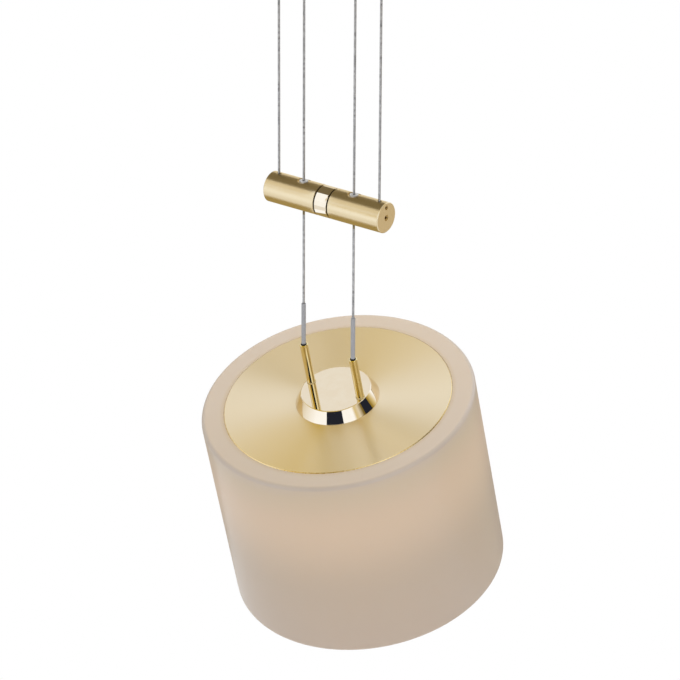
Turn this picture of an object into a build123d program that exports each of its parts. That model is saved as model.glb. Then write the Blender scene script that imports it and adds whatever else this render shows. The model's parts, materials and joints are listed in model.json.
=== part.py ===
from build123d import *
import os
from math import cos, radians, sin, sqrt

# Height-adjustable pendant lamp: a canopy with two pulleys, two ropes, a brass brake bar and a head with a
# glass shade. Millimetres. The origin is the centre of the ceiling plate's top face, +Z is up, and +X runs
# along the bar. Each rope runs from a pin of the head up through the bar, over a pulley, and down again to
# the end of the bar, so the bar climbs as the head is pulled down. A brake in the bar holds the head.

# Ropes
rope_d = 1.6
rope_spacing = 39.0         # between the two inner ropes, and so between the two pins
rope_gap = 0.1              # round a rope where it runs past a guide
bar_drop = 172.0            # from the canopy's underside to the bar's axis
head_drop = 104.0           # from the bar's axis to the mouths of the pins
swing_angle = 16.0          # how far the head is swung about the line of its pin mouths, in degrees

# Fits
fit_gap = 0.05              # round a screw, pin or bush in its hole
run_gap = 0.05              # round an axle in a turning bore
seat_gap = 0.2              # beside a face that is bent or pressed into place
screw_set_back = 0.3        # from the end of a screw to the free face behind it

# Pulleys and their frame
pulley_pitch_d = 19.5       # to the rope's centre line
pulley_rim = 2.25           # from the rope's centre line to the pulley's edge
pulley_w = 7.0
pulley_edge_w = 0.9         # width of each rim at its edge
pulley_side_gap = 0.3
pulley_hole_d = 3.6
pulley_hole_count = 3
axle_d = 4.0
axle_head_d = 6.8
axle_head_t = 1.2
axle_end = 0.8              # of axle past its clip
bush_neck_d = 6.4
bush_flange_d = 9.0
bush_flange_t = 1.0
bush_spacer_t = 1.0         # of bush standing inside the frame, beside the pulley
clip_d = 7.2
clip_t = 0.6
clip_groove_d = 3.0
clip_mouth = 2.2
frame_t = 1.5
frame_cheek_w = 16.0
frame_cheek_below_axle = 6.0
pulley_head_room = 8.5      # from the frame's web down to the pulley

# Canopy and ceiling plate
canopy_d = 130.0
canopy_wall = 1.2
canopy_edge_r = 3.0
canopy_floor_gap = 7.8      # from the pulleys down to the canopy's floor
ceiling_plate_t = 2.0
ceiling_plate_gap = 2.8     # from the plate's edge to the canopy's wall
slot_edge = 11.0            # from a slot's centre to the plate's edge
slot_w = 5.0
slot_l = 10.0
wire_hole_d = 22.0
wire_hole_edge = 6.0        # from the wire hole to the plate's edge
ear_w = 14.0
ear_t = 2.0
ear_h = 14.0
thumb_screw_d = 4.0
thumb_head_d = 9.0
thumb_head_l = 7.0
thumb_screw_drop = 9.0      # from the ceiling to the thumb screw's axis
bushing_neck_d = 6.0
bushing_flange_d = 9.0
bushing_flange_t = 1.2
bushing_neck_rise = 0.8     # of the bushing's neck above the canopy's floor
bushing_gap = 0.4           # round the rope in the canopy's bushing

# Electrical pieces in the canopy
small_screw_d = 3.0
small_head_d = 5.5
small_head_t = 2.0
driver_l = 50.0
driver_w = 26.0
driver_h = 20.0
driver_edge_r = 1.5
driver_gap = 2.7            # from the axles to the driver
driver_tab_l = 7.0
driver_tab_w = 10.0
driver_tab_t = 2.5
block_l = 34.0
block_w = 16.0
block_h = 14.0
block_gap = 2.5             # from the axles to the terminal block
block_pole_pitch = 10.0
block_wire_hole_d = 3.2
block_wire_drop = 8.0       # from the block's top to its wire holes
block_clamp_screw_d = 3.6
lead_d = 1.8
lead_in_block = 4.0         # of lead inside the terminal block
tag_d = 7.2
tag_t = 0.5
tag_tail_l = 11.0
tag_tail_w = 3.0
tag_tail_angle = 45.0
tag_solder_l = 9.6          # from the axle's axis to the wire on the tag
earth_screw_d = 4.0
earth_head_d = 7.2
earth_head_t = 2.4

# Brake bar
bar_d = 20.0
bar_end = 5.5               # of bar past each outer rope
bar_edge = 0.5
ring_l = 9.2
ring_edge = 0.3
washer_t = 1.0
washer_inset = 1.3          # depth of the dark groove beside the ring
stud_d = 5.0
stud_in_half = 10.0         # of stud inside each half of the bar
spot_d = 8.4                # flat round the guide ferrule
spot_depth = 1.0
ferrule_flange_d = 5.6
ferrule_flange_t = 0.8
ferrule_tube_d = 4.0
ferrule_tube_l = 4.5
bar_rope_hole_gap = 0.4     # round the inner rope below its ferrule
outer_hole_gap = 0.2        # round the outer rope's end
outer_hole_mouth = 0.7      # countersink at that hole
outer_rope_in_bar = 6.0
clamp_screw_d = 3.0
clamp_screw_rise = 6.8      # above the bar's axis
clamp_key = 1.5
brake_screw_d = 4.0
brake_screw_l = 8.0
brake_key = 2.0
key_depth = 2.0
screw_sink = 0.6            # below the bar's end face

# Rope ends and pins
sleeve_d = 2.9
sleeve_bore_gap = 0.05
sleeve_l = 28.5
bead_d = 3.6
bead_flat = 0.3             # from the bead's centre up to its flat, where the sleeve stands
socket_gap = 0.25
socket_floor = 0.5
pin_d = 5.4
pin_h = 31.0                # from the boss to the pin's mouth
pin_edge = 0.3
pin_shank_d = 3.0
tail_l = 12.0
collar_d = 6.8
collar_t = 0.6
collar_neck_d = 4.8
pin_nut_af = 5.5
pin_nut_t = 2.4
pin_end = 1.5               # of shank past its nut
pin_washer_d = 8.0
pin_washer_t = 1.0
pin_tag_d = 6.0
pin_tag_tail_l = 7.0
pin_tag_lead = 5.5          # from the pin's axis to the lead on its tag

# Boss, top plate and glass shade
boss_margin = 3.5           # from a pin's axis to the edge of the boss's flat top
boss_flare = 4.5
boss_h = 8.0
plate_t = 1.2
plate_edge = 0.2
shade_d = 180.0
shade_h = 139.0
shade_wall = 4.5
shade_lip_t = 5.0
shade_rim_w = 15.0          # ring of glass outside the plate
shade_lip_cover = 8.0       # of plate over the glass lip
shade_rebate = 1.4          # depth of the step in the glass that the plate lies in
shade_rebate_gap = 0.3      # from the plate's edge to that step
shade_rebate_edge_r = 0.4
shade_shoulder_r = 3.0
shade_inner_shoulder_r = 7.0
shade_lip_edge_r = 1.0
shade_foot_r = 2.0
gasket_t = 0.5
gasket_inset = 2.0          # from the plate's edge
clamp_ring_w = 17.5
clamp_ring_t = 2.0
pillar_d = 7.0
pillar_inset = 5.5          # from the glass's opening to a pillar's axis
pillar_gap = 0.2            # from a pillar to the clamp ring, before it is drawn up
pillar_count = 3
ring_screw_d = 4.0
ring_screw_l = 6.0
ring_screw_head_d = 7.6
ring_screw_head_t = 2.4

# Light inside the shade
nipple_d = 10.0
nipple_bore_d = 6.0
nipple_in_boss = 5.5
nipple_hole_floor = 0.5
nipple_end = 0.5            # from the nipple's end to the board
nut_af = 14.0
nut_t = 3.0
nut_room = 1.2
sink_d = 64.0
sink_h = 22.0
sink_wall = 6.0
sink_base_t = 8.0
sink_nut_pocket = 4.5
sink_washer_gap = 1.0       # round the pins' washers and nuts inside the sink
fin_count = 24
fin_slot_w = 2.4
fin_slot_depth = 4.0
fin_slot_top = 5.0          # from the sink's rim to the slots
fin_slot_bottom = 6.0       # from the slots to the sink's foot
board_margin = 4.0          # from the board's edge to the sink's edge
board_t = 1.6
board_screw_d = 2.5
board_screw_l = 5.0
board_screw_head_d = 4.4
board_screw_head_t = 1.4
board_screw_inset = 4.0     # from the board's edge
board_screw_count = 3
chip_count = 18
chip_size = 3.0
chip_t = 0.7
chip_inset = 10.0           # from the board's edge to the middle of a chip
led_lead_d = 1.4
led_lead_gap = 0.6
diffuser_wall = 1.6
diffuser_h = 44.0
diffuser_lap = 5.0          # of diffuser over the foot of the heat sink
diffuser_edge_r = 9.0

# Places that follow from those sizes
rope_r = rope_d / 2
inner_x = rope_spacing / 2
pulley_x = inner_x + pulley_pitch_d / 2
outer_x = inner_x + pulley_pitch_d
pulley_r = pulley_pitch_d / 2 + pulley_rim
frame_top_z = -ceiling_plate_t
frame_web_z = frame_top_z - frame_t
pulley_z = frame_web_z - pulley_head_room - pulley_r
canopy_floor_z = pulley_z - pulley_r - canopy_floor_gap
canopy_z = canopy_floor_z - canopy_wall
bar_z = canopy_z - bar_drop
pivot_z = bar_z - head_drop
canopy_inner_r = canopy_d / 2 - canopy_wall
ceiling_plate_r = canopy_inner_r - ceiling_plate_gap
slot_x = ceiling_plate_r - slot_edge
wire_hole_y = -(ceiling_plate_r - wire_hole_edge - wire_hole_d / 2)
ear_x = sqrt(canopy_inner_r ** 2 - (ear_w / 2) ** 2) - seat_gap
frame_inner_y = pulley_w / 2 + pulley_side_gap + bush_spacer_t
frame_outer_y = frame_inner_y + frame_t
frame_half_l = pulley_x + frame_cheek_w / 2
tag_y = frame_outer_y + bush_flange_t
clip_y = tag_y + tag_t
axle_end_y = clip_y + clip_t + run_gap + axle_end
axle_head_y = tag_y + axle_head_t
driver_y = axle_end_y + driver_gap
block_y = -(axle_head_y + block_gap)
block_wire_z = frame_top_z - block_wire_drop
bar_half_l = outer_x + bar_end
half_start = ring_l / 2 + washer_t
spot_z = bar_z + bar_d / 2 - spot_depth
outer_rope_end_z = bar_z + bar_d / 2 - outer_rope_in_bar


def rod_x(diameter, x_from, x_to, y, z):
    """Round bar along X."""
    return Pos(x_from, y, z) * Rot(0, 90, 0) * Cylinder(
        diameter / 2, x_to - x_from, align=(Align.CENTER, Align.CENTER, Align.MIN)
    )


def rod_y(diameter, y_from, y_to, x, z):
    """Round bar along Y."""
    return Pos(x, y_from, z) * Rot(-90, 0, 0) * Cylinder(
        diameter / 2, y_to - y_from, align=(Align.CENTER, Align.CENTER, Align.MIN)
    )


def rod_z(diameter, z_from, z_to, x=0.0, y=0.0):
    """Round bar along Z, from its lower end up."""
    return Pos(x, y, z_from) * Cylinder(
        diameter / 2, z_to - z_from, align=(Align.CENTER, Align.CENTER, Align.MIN)
    )


def block(x_from, x_to, y_from, y_to, z_from, z_to):
    """Rectangular block between two corners."""
    return Pos(x_from, y_from, z_from) * Box(
        x_to - x_from, y_to - y_from, z_to - z_from, align=(Align.MIN, Align.MIN, Align.MIN)
    )


def hex_z(across_flats, z_from, z_to, x=0.0, y=0.0):
    """Hexagonal bar along Z."""
    outline = RegularPolygon(across_flats / 2, 6, major_radius=False)
    return Pos(x, y, z_from) * extrude(outline, z_to - z_from)


def hex_x(across_flats, x_from, x_to, y, z):
    """Hexagonal bar along X."""
    outline = RegularPolygon(across_flats / 2, 6, major_radius=False)
    return Pos(x_from, y, z) * Rot(0, 90, 0) * extrude(outline, x_to - x_from)


def turned(points, radii):
    """Solid turned about Z from an outline of (radius, height) corners, each rounded by its radius."""
    outline = FilletPolyline(*[(r, 0, z) for r, z in points], radius=radii, close=True)
    return revolve(make_face(outline), Axis.Z)


def screw_up(diameter, head_d, head_t, head_z, tip_z, x, y):
    """Screw driven upwards: its head hangs below head_z and its tip reaches tip_z."""
    shank = rod_z(diameter - 2 * fit_gap, head_z, tip_z, x, y)
    return rod_z(head_d, head_z - head_t, head_z, x, y) + shank


def both_sides(shape):
    """The right-hand piece and its mirror image on the left."""
    return [shape, shape.mirror(Plane.YZ)]


def ring_places(count, radius, start=90.0):
    """Evenly spaced (x, y) places on a circle."""
    angles = [radians(start + 360 * i / count) for i in range(count)]
    return [(radius * cos(a), radius * sin(a)) for a in angles]


def save(node, *shapes):
    """Write one node as a group of its separate solids."""
    solids = [solid for shape in shapes for solid in shape.solids()]
    export_step(Compound(solids), f"parts/{node}.step")
    print(node, len(solids), round(sum(solid.volume for solid in solids), 1))


def save_sides(node, shape):
    """Write the right-hand piece and its mirror image as two nodes."""
    right, left = both_sides(shape)
    save(f"{node}_right", right)
    save(f"{node}_left", left)


def make_ceiling_plate():
    plate = rod_z(2 * ceiling_plate_r, -ceiling_plate_t, 0)
    for side in (-1, 1):
        tab = block(slot_x, ear_x, -ear_w / 2, ear_w / 2, -ceiling_plate_t, 0)
        ear = block(ear_x - ear_t, ear_x, -ear_w / 2, ear_w / 2, -ceiling_plate_t - ear_h, -ceiling_plate_t)
        ear -= rod_x(thumb_screw_d, ear_x - 2 * ear_t, ear_x + ear_t, 0, -thumb_screw_drop)
        bent = tab + ear
        plate += bent if side > 0 else bent.mirror(Plane.YZ)
    for side in (-1, 1):
        outline = SlotOverall(slot_l, slot_w)
        plate -= Pos(side * slot_x, 0, -2 * ceiling_plate_t) * extrude(outline, 3 * ceiling_plate_t)
    plate -= rod_z(wire_hole_d, -2 * ceiling_plate_t, ceiling_plate_t, 0, wire_hole_y)
    for x, y, hole_d in plate_screws():
        plate -= rod_z(hole_d, -2 * ceiling_plate_t, ceiling_plate_t, x, y)
    return plate


def frame_screw_places():
    return [(-pulley_x, 0), (0, 0), (pulley_x, 0)]


def driver_screw_places():
    x = driver_l / 2 + driver_tab_l / 2
    return [(-x, driver_y + driver_w / 2), (x, driver_y + driver_w / 2)]


def block_screw_places():
    y = block_y - block_w / 2
    return [(-block_pole_pitch / 2, y), (block_pole_pitch / 2, y)]


def earth_place():
    return (ceiling_plate_r / 2, -ceiling_plate_r / 2)


def plate_screws():
    """Place and hole diameter of every screw that goes up into the ceiling plate."""
    small = frame_screw_places() + driver_screw_places() + block_screw_places()
    return [(x, y, small_screw_d) for x, y in small] + [(*earth_place(), earth_screw_d)]


def make_canopy_cover():
    outer_r = canopy_d / 2
    inner_edge_r = max(canopy_edge_r - canopy_wall, 0.2)
    points = [
        (0, canopy_z), (outer_r, canopy_z), (outer_r, 0), (canopy_inner_r, 0),
        (canopy_inner_r, canopy_floor_z), (0, canopy_floor_z),
    ]
    cover = turned(points, [0, canopy_edge_r, 0, 0, inner_edge_r, 0])
    for x in (-outer_x, -inner_x, inner_x, outer_x):
        cover -= rod_z(bushing_neck_d + 2 * fit_gap, canopy_z - canopy_wall, canopy_floor_z + canopy_wall, x)
    hole_d = thumb_screw_d + 2 * seat_gap
    cover -= rod_x(hole_d, -canopy_d, canopy_d, 0, -thumb_screw_drop)
    return cover


def make_thumb_screw():
    head = rod_x(thumb_head_d, canopy_d / 2, canopy_d / 2 + thumb_head_l, 0, -thumb_screw_drop)
    shank_d = thumb_screw_d - 2 * fit_gap
    return head + rod_x(shank_d, ear_x - ear_t - thumb_screw_d / 2, canopy_d / 2, 0, -thumb_screw_drop)


def make_rope_bushing(x):
    flange = rod_z(bushing_flange_d, canopy_z - bushing_flange_t, canopy_z, x)
    neck = rod_z(bushing_neck_d, canopy_z, canopy_floor_z + bushing_neck_rise, x)
    bore_d = rope_d + 2 * bushing_gap
    bore = rod_z(bore_d, canopy_z - 2 * bushing_flange_t, canopy_floor_z + 2 * canopy_wall, x)
    return flange + neck - bore


def make_pulley_frame():
    frame = block(-frame_half_l, frame_half_l, -frame_outer_y, frame_outer_y, frame_web_z, frame_top_z)
    for side in (-1, 1):
        x = side * pulley_x
        for y in (-frame_outer_y, frame_inner_y):
            low = pulley_z - frame_cheek_below_axle
            frame += block(x - frame_cheek_w / 2, x + frame_cheek_w / 2, y, y + frame_t, low, frame_web_z)
        hole_d = bush_neck_d + 2 * fit_gap
        frame -= rod_y(hole_d, -2 * frame_outer_y, 2 * frame_outer_y, x, pulley_z)
    for x, y in frame_screw_places():
        frame -= rod_z(small_screw_d, frame_web_z - frame_t, frame_top_z + frame_t, x, y)
    return frame


def make_pulley():
    half_w = pulley_w / 2
    bore_r = axle_d / 2 + run_gap
    root_r = pulley_pitch_d / 2 - rope_r - rope_gap
    root_w = rope_r + rope_gap
    edge_y = half_w - pulley_edge_w
    points = [
        (bore_r, -half_w), (pulley_r, -half_w), (pulley_r, -edge_y), (root_r, -root_w),
        (root_r, root_w), (pulley_r, edge_y), (pulley_r, half_w), (bore_r, half_w),
    ]
    wheel = turned(points, 0)
    hole_ring_r = (bore_r + root_r) / 2
    for x, y in ring_places(pulley_hole_count, hole_ring_r):
        wheel -= rod_z(pulley_hole_d, -pulley_w, pulley_w, x, y)
    return Pos(pulley_x, 0, pulley_z) * Rot(90, 0, 0) * wheel


def make_axle():
    shaft = rod_y(axle_d, -tag_y, axle_end_y, pulley_x, pulley_z)
    shaft += rod_y(axle_head_d, -axle_head_y, -tag_y, pulley_x, pulley_z)
    groove = rod_y(2 * axle_d, clip_y, clip_y + clip_t + run_gap, pulley_x, pulley_z)
    groove -= rod_y(clip_groove_d, clip_y, clip_y + clip_t + run_gap, pulley_x, pulley_z)
    return shaft - groove


def make_axle_clip():
    clip = rod_y(clip_d, clip_y, clip_y + clip_t, pulley_x, pulley_z)
    clip -= rod_y(clip_groove_d + 2 * run_gap, clip_y - clip_t, clip_y + 2 * clip_t, pulley_x, pulley_z)
    mouth = block(
        pulley_x - clip_mouth / 2, pulley_x + clip_mouth / 2, clip_y - clip_t, clip_y + 2 * clip_t,
        pulley_z - clip_d, pulley_z,
    )
    return clip - mouth


def make_axle_bushes():
    bore = rod_y(axle_d + 2 * fit_gap, -2 * tag_y, 2 * tag_y, pulley_x, pulley_z)
    back = rod_y(bush_flange_d, frame_outer_y, tag_y, pulley_x, pulley_z)
    back += rod_y(bush_neck_d, frame_inner_y - bush_spacer_t, frame_outer_y, pulley_x, pulley_z)
    back -= bore
    return [back, back.mirror(Plane.XZ)]


def make_contact_tag():
    ring = rod_y(tag_d, tag_y, clip_y, pulley_x, pulley_z)
    tail = block(0, tag_tail_l, tag_y, clip_y, -tag_tail_w / 2, tag_tail_w / 2)
    tail = Pos(pulley_x, 0, pulley_z) * Rot(0, 180 + tag_tail_angle, 0) * tail
    return ring + tail - rod_y(axle_d + 2 * fit_gap, tag_y - tag_t, clip_y + tag_t, pulley_x, pulley_z)


def make_feed_wire():
    x = pulley_x - tag_solder_l * cos(radians(tag_tail_angle))
    z = pulley_z + tag_solder_l * sin(radians(tag_tail_angle))
    return rod_y(lead_d, clip_y, driver_y, x, z)


def make_driver():
    body = block(
        -driver_l / 2, driver_l / 2, driver_y, driver_y + driver_w, frame_top_z - driver_h, frame_top_z
    )
    body = fillet(body.edges().filter_by(Axis.Z), driver_edge_r)
    middle_y = driver_y + driver_w / 2
    tab_end = driver_l / 2 + driver_tab_l
    body += block(
        -tab_end, tab_end, middle_y - driver_tab_w / 2, middle_y + driver_tab_w / 2,
        frame_top_z - driver_tab_t, frame_top_z,
    )
    for x, y in driver_screw_places():
        body -= rod_z(small_screw_d, frame_top_z - 2 * driver_tab_t, frame_top_z + driver_tab_t, x, y)
    return body


def block_pole_places():
    return [-block_pole_pitch, 0, block_pole_pitch]


def make_terminal_block():
    low = frame_top_z - block_h
    body = block(-block_l / 2, block_l / 2, block_y - block_w, block_y, low, frame_top_z)
    for x in block_pole_places():
        body -= rod_y(block_wire_hole_d, block_y - 2 * block_w, block_y + block_w, x, block_wire_z)
        body -= rod_z(block_clamp_screw_d, low - block_h, block_wire_z, x, block_y - block_w / 2)
    for x, y in block_screw_places():
        body -= rod_z(small_screw_d, low - block_h, frame_top_z + block_h, x, y)
    return body


def make_block_clamp_screw(x):
    low = frame_top_z - block_h
    tip = block_wire_z - lead_d / 2 - fit_gap
    screw = rod_z(block_clamp_screw_d - 2 * fit_gap, low, tip, x, block_y - block_w / 2)
    slot_half = block_clamp_screw_d / 8
    y = block_y - block_w / 2
    return screw - block(
        x - block_clamp_screw_d, x + block_clamp_screw_d, y - slot_half, y + slot_half,
        low - slot_half, low + 2 * slot_half,
    )


def make_mains_lead(x):
    return rod_y(lead_d, block_y - block_w / 2 - lead_in_block, driver_y, x, block_wire_z)


def save_ceiling_pieces():
    save("ceiling_plate", make_ceiling_plate())
    save("canopy_cover", make_canopy_cover())
    save("thumb_screws", *both_sides(make_thumb_screw()))
    save("rope_bushings", *[make_rope_bushing(x) for x in (-outer_x, -inner_x, inner_x, outer_x)])
    save("pulley_frame", make_pulley_frame())
    tip = -screw_set_back
    frame_screws = [
        screw_up(small_screw_d, small_head_d, small_head_t, frame_web_z, tip, x, y)
        for x, y in frame_screw_places()
    ]
    save("frame_screws", *frame_screws)
    save("pulley_axles", *both_sides(make_axle()))
    save("axle_clips", *both_sides(make_axle_clip()))
    bushes = make_axle_bushes()
    save("axle_bushes", *both_sides(bushes[0]), *both_sides(bushes[1]))
    save("contact_tags", *both_sides(make_contact_tag()))
    save("feed_wires", *both_sides(make_feed_wire()))
    save("led_driver", make_driver())
    driver_screws = [
        screw_up(small_screw_d, small_head_d, small_head_t, frame_top_z - driver_tab_t, tip, x, y)
        for x, y in driver_screw_places()
    ]
    save("driver_screws", *driver_screws)
    save("terminal_block", make_terminal_block())
    save("terminal_clamp_screws", *[make_block_clamp_screw(x) for x in block_pole_places()])
    block_screws = [
        screw_up(small_screw_d, small_head_d, small_head_t, frame_top_z - block_h, tip, x, y)
        for x, y in block_screw_places()
    ]
    save("terminal_block_screws", *block_screws)
    save("mains_leads", *[make_mains_lead(x) for x in (-block_pole_pitch, block_pole_pitch)])
    x, y = earth_place()
    save("earth_screw", screw_up(earth_screw_d, earth_head_d, earth_head_t, frame_top_z, tip, x, y))


def make_pulley_rope():
    """Half turn of rope over the right-hand pulley."""
    lap = ThreePointArc(
        (inner_x, 0, pulley_z), (pulley_x, 0, pulley_z + pulley_pitch_d / 2), (outer_x, 0, pulley_z)
    )
    section = Plane(origin=(inner_x, 0, pulley_z), z_dir=(0, 0, 1)) * Circle(rope_r)
    return sweep(section, lap)


def save_ropes():
    rope_end_z = pivot_z + bead_flat
    save_sides("inner_rope", rod_z(rope_d, rope_end_z, pulley_z, inner_x))
    save_sides("pulley_rope", make_pulley_rope())
    save_sides("outer_rope", rod_z(rope_d, outer_rope_end_z, pulley_z, outer_x))
    print("rope turns over a pulley at radius", pulley_pitch_d / 2)
    sleeve = rod_z(sleeve_d, rope_end_z, rope_end_z + sleeve_l, inner_x)
    sleeve -= rod_z(rope_d + 2 * sleeve_bore_gap, rope_end_z - sleeve_l, rope_end_z + 2 * sleeve_l, inner_x)
    save_sides("rope_sleeve", sleeve)
    bead = Pos(inner_x, 0, pivot_z) * Sphere(bead_d / 2)
    bead -= rod_z(2 * bead_d, rope_end_z, pivot_z + bead_d, inner_x)
    save("rope_end_beads", *both_sides(bead))


def make_bar_half():
    """Right-hand half of the brake bar, with its bores."""
    half = rod_x(bar_d, half_start, bar_half_l, 0, bar_z)
    half = chamfer(half.faces().sort_by(Axis.X)[-1].edges(), bar_edge)
    half = chamfer(half.faces().sort_by(Axis.X)[0].edges(), ring_edge)
    top = bar_z + bar_d
    half -= rod_x(stud_d + 2 * fit_gap, half_start - stud_d, half_start + stud_in_half, 0, bar_z)
    half -= rod_z(spot_d, spot_z, top, inner_x)
    half -= rod_z(ferrule_tube_d + 2 * fit_gap, spot_z - ferrule_tube_l, top, inner_x)
    half -= rod_z(rope_d + 2 * bar_rope_hole_gap, bar_z - bar_d, top, inner_x)
    outer_hole_d = rope_d + 2 * outer_hole_gap
    half -= rod_z(outer_hole_d, outer_rope_end_z, top, outer_x)
    mouth_z = bar_z + bar_d / 2 - outer_hole_mouth
    mouth = Cone(outer_hole_d / 2, outer_hole_d / 2 + 2 * outer_hole_mouth, 2 * outer_hole_mouth)
    half -= Pos(outer_x, 0, mouth_z + outer_hole_mouth) * mouth
    half -= rod_x(clamp_screw_d, outer_x, 2 * bar_half_l, 0, bar_z + clamp_screw_rise)
    half -= rod_x(brake_screw_d, inner_x, 2 * bar_half_l, 0, bar_z)
    return half


def make_grub_screw(diameter, key, x_from, z):
    """Socket screw in the end face of the bar."""
    x_to = bar_half_l - screw_sink
    screw = rod_x(diameter - 2 * fit_gap, x_from, x_to, 0, z)
    return screw - hex_x(key, x_to - key_depth, x_to + key_depth, 0, z)


def save_bar_pieces():
    save_sides("bar_half", make_bar_half())
    stud_hole_d = stud_d + 2 * fit_gap
    ring = rod_x(bar_d, -ring_l / 2, ring_l / 2, 0, bar_z)
    ring = chamfer(ring.edges().filter_by(GeomType.CIRCLE), ring_edge)
    save("centre_ring", ring - rod_x(stud_hole_d, -ring_l, ring_l, 0, bar_z))
    washer = rod_x(bar_d - 2 * washer_inset, ring_l / 2, half_start, 0, bar_z)
    washer -= rod_x(stud_hole_d, 0, 2 * half_start, 0, bar_z)
    save("ring_washers", *both_sides(washer))
    stud_end = half_start + stud_in_half - seat_gap
    save("joining_stud", rod_x(stud_d, -stud_end, stud_end, 0, bar_z))
    ferrule = rod_z(ferrule_flange_d, spot_z, spot_z + ferrule_flange_t, inner_x)
    ferrule += rod_z(ferrule_tube_d, spot_z - ferrule_tube_l, spot_z, inner_x)
    ferrule -= rod_z(rope_d + 2 * rope_gap, bar_z, bar_z + bar_d, inner_x)
    save("guide_ferrules", *both_sides(ferrule))
    clamp_from = outer_x + rope_r + rope_gap
    clamp = make_grub_screw(clamp_screw_d, clamp_key, clamp_from, bar_z + clamp_screw_rise)
    save("rope_clamp_screws", *both_sides(clamp))
    brake_from = bar_half_l - screw_sink - brake_screw_l
    save("brake_screws", *both_sides(make_grub_screw(brake_screw_d, brake_key, brake_from, bar_z)))
    plug = rod_x(brake_screw_d - 2 * fit_gap, inner_x + rope_r + rope_gap, brake_from, 0, bar_z)
    save("brake_plugs", *both_sides(plug))


# Levels in the head, measured from the line of the pin mouths, with the head upright
boss_top = -pin_h
plate_top = boss_top - boss_h
plate_under = plate_top - plate_t
lip_top = plate_under - gasket_t
glass_top = lip_top + shade_rebate
lip_under = lip_top - shade_lip_t
ring_top = lip_under - gasket_t
ring_under = ring_top - clamp_ring_t
glass_foot = glass_top - shade_h
sink_foot = plate_under - sink_h
sink_floor = sink_foot + sink_base_t
nut_pocket_z = sink_foot + sink_nut_pocket
board_under = sink_foot - board_t
pin_washer_under = plate_under - pin_washer_t
pin_tag_under = pin_washer_under - tag_t
pin_nut_under = pin_tag_under - pin_nut_t
pin_end_z = pin_nut_under - pin_end
socket_d = bead_d + 2 * socket_gap
socket_z = -bead_d / 2 - socket_floor
shade_r = shade_d / 2
plate_r = shade_r - shade_rim_w
rebate_r = plate_r + shade_rebate_gap
opening_r = plate_r - shade_lip_cover
gasket_outer_r = plate_r - gasket_inset
gasket_inner_r = opening_r + shade_lip_edge_r
pillar_r = opening_r - pillar_inset
board_r = sink_d / 2 - board_margin
lead_x = inner_x - pin_tag_lead
head_place = Pos(0, 0, pivot_z) * Rot(swing_angle, 0, 0)


def make_pin():
    pin = rod_z(pin_d, boss_top + collar_t, 0, inner_x)
    pin = chamfer(pin.faces().sort_by(Axis.Z)[-1].edges(), pin_edge)
    pin += rod_z(pin_shank_d, pin_end_z, boss_top + collar_t, inner_x)
    pin -= rod_z(socket_d, socket_z, bead_d, inner_x)
    return pin - rod_z(rope_d + 2 * fit_gap, socket_z - tail_l, socket_z, inner_x)


def make_pin_collar():
    collar = rod_z(collar_d, boss_top, boss_top + collar_t, inner_x)
    collar += rod_z(collar_neck_d, plate_under, boss_top, inner_x)
    return collar - rod_z(pin_shank_d + 2 * fit_gap, plate_under - pin_h, 0, inner_x)


def make_pin_tag():
    ring = rod_z(pin_tag_d, pin_tag_under, pin_washer_under, inner_x)
    half_w = tag_tail_w / 2
    ring += block(inner_x - pin_tag_tail_l, inner_x, -half_w, half_w, pin_tag_under, pin_washer_under)
    return ring - rod_z(pin_shank_d + 2 * fit_gap, pin_tag_under - tag_t, plate_under, inner_x)


def make_pin_nut():
    nut = hex_z(pin_nut_af, pin_nut_under, pin_tag_under, inner_x)
    return nut - rod_z(pin_shank_d + 2 * fit_gap, pin_nut_under - pin_nut_t, plate_under, inner_x)


def make_boss():
    top_r = inner_x + boss_margin
    boss = Pos(0, 0, (boss_top + plate_top) / 2) * Cone(top_r + boss_flare, top_r, boss_h)
    hole_top = plate_top + nipple_in_boss + nipple_hole_floor
    boss -= rod_z(nipple_d + 2 * fit_gap, plate_under, hole_top)
    for x in (-inner_x, inner_x):
        boss -= rod_z(collar_neck_d + 2 * fit_gap, plate_under, 0, x)
    return boss


def make_top_plate():
    plate = rod_z(2 * plate_r, plate_under, plate_top)
    plate = chamfer(plate.faces().sort_by(Axis.Z)[-1].edges(), plate_edge)
    plate -= rod_z(nipple_d + 2 * fit_gap, plate_under - plate_t, plate_top + plate_t)
    for x in (-inner_x, inner_x):
        plate -= rod_z(collar_neck_d + 2 * fit_gap, plate_under - plate_t, plate_top + plate_t, x)
    return plate


def make_glass_shade():
    inner_r = shade_r - shade_wall
    points = [
        (opening_r, lip_top), (rebate_r, lip_top), (rebate_r, glass_top), (shade_r, glass_top),
        (shade_r, glass_foot), (inner_r, glass_foot), (inner_r, lip_under), (opening_r, lip_under),
    ]
    edge_r = min(shade_lip_edge_r, 0.4 * shade_lip_t)
    foot_r = min(shade_foot_r, 0.45 * shade_wall)
    radii = [
        edge_r, 0, shade_rebate_edge_r, shade_shoulder_r, foot_r, foot_r, shade_inner_shoulder_r, edge_r
    ]
    return turned(points, radii)


def make_gasket(z_from):
    ring = rod_z(2 * gasket_outer_r, z_from, z_from + gasket_t)
    return ring - rod_z(2 * gasket_inner_r, z_from - gasket_t, z_from + 2 * gasket_t)


def make_clamp_ring():
    ring = rod_z(2 * gasket_outer_r, ring_under, ring_top)
    ring -= rod_z(2 * (gasket_outer_r - clamp_ring_w), ring_under - clamp_ring_t, ring_top + clamp_ring_t)
    for x, y in ring_places(pillar_count, pillar_r):
        ring -= rod_z(ring_screw_d, ring_under - clamp_ring_t, ring_top + clamp_ring_t, x, y)
    return ring


def make_pillar(x, y):
    pillar = rod_z(pillar_d, ring_top + pillar_gap, plate_under, x, y)
    return pillar - rod_z(ring_screw_d, ring_under, ring_under + ring_screw_l + screw_set_back, x, y)


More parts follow.
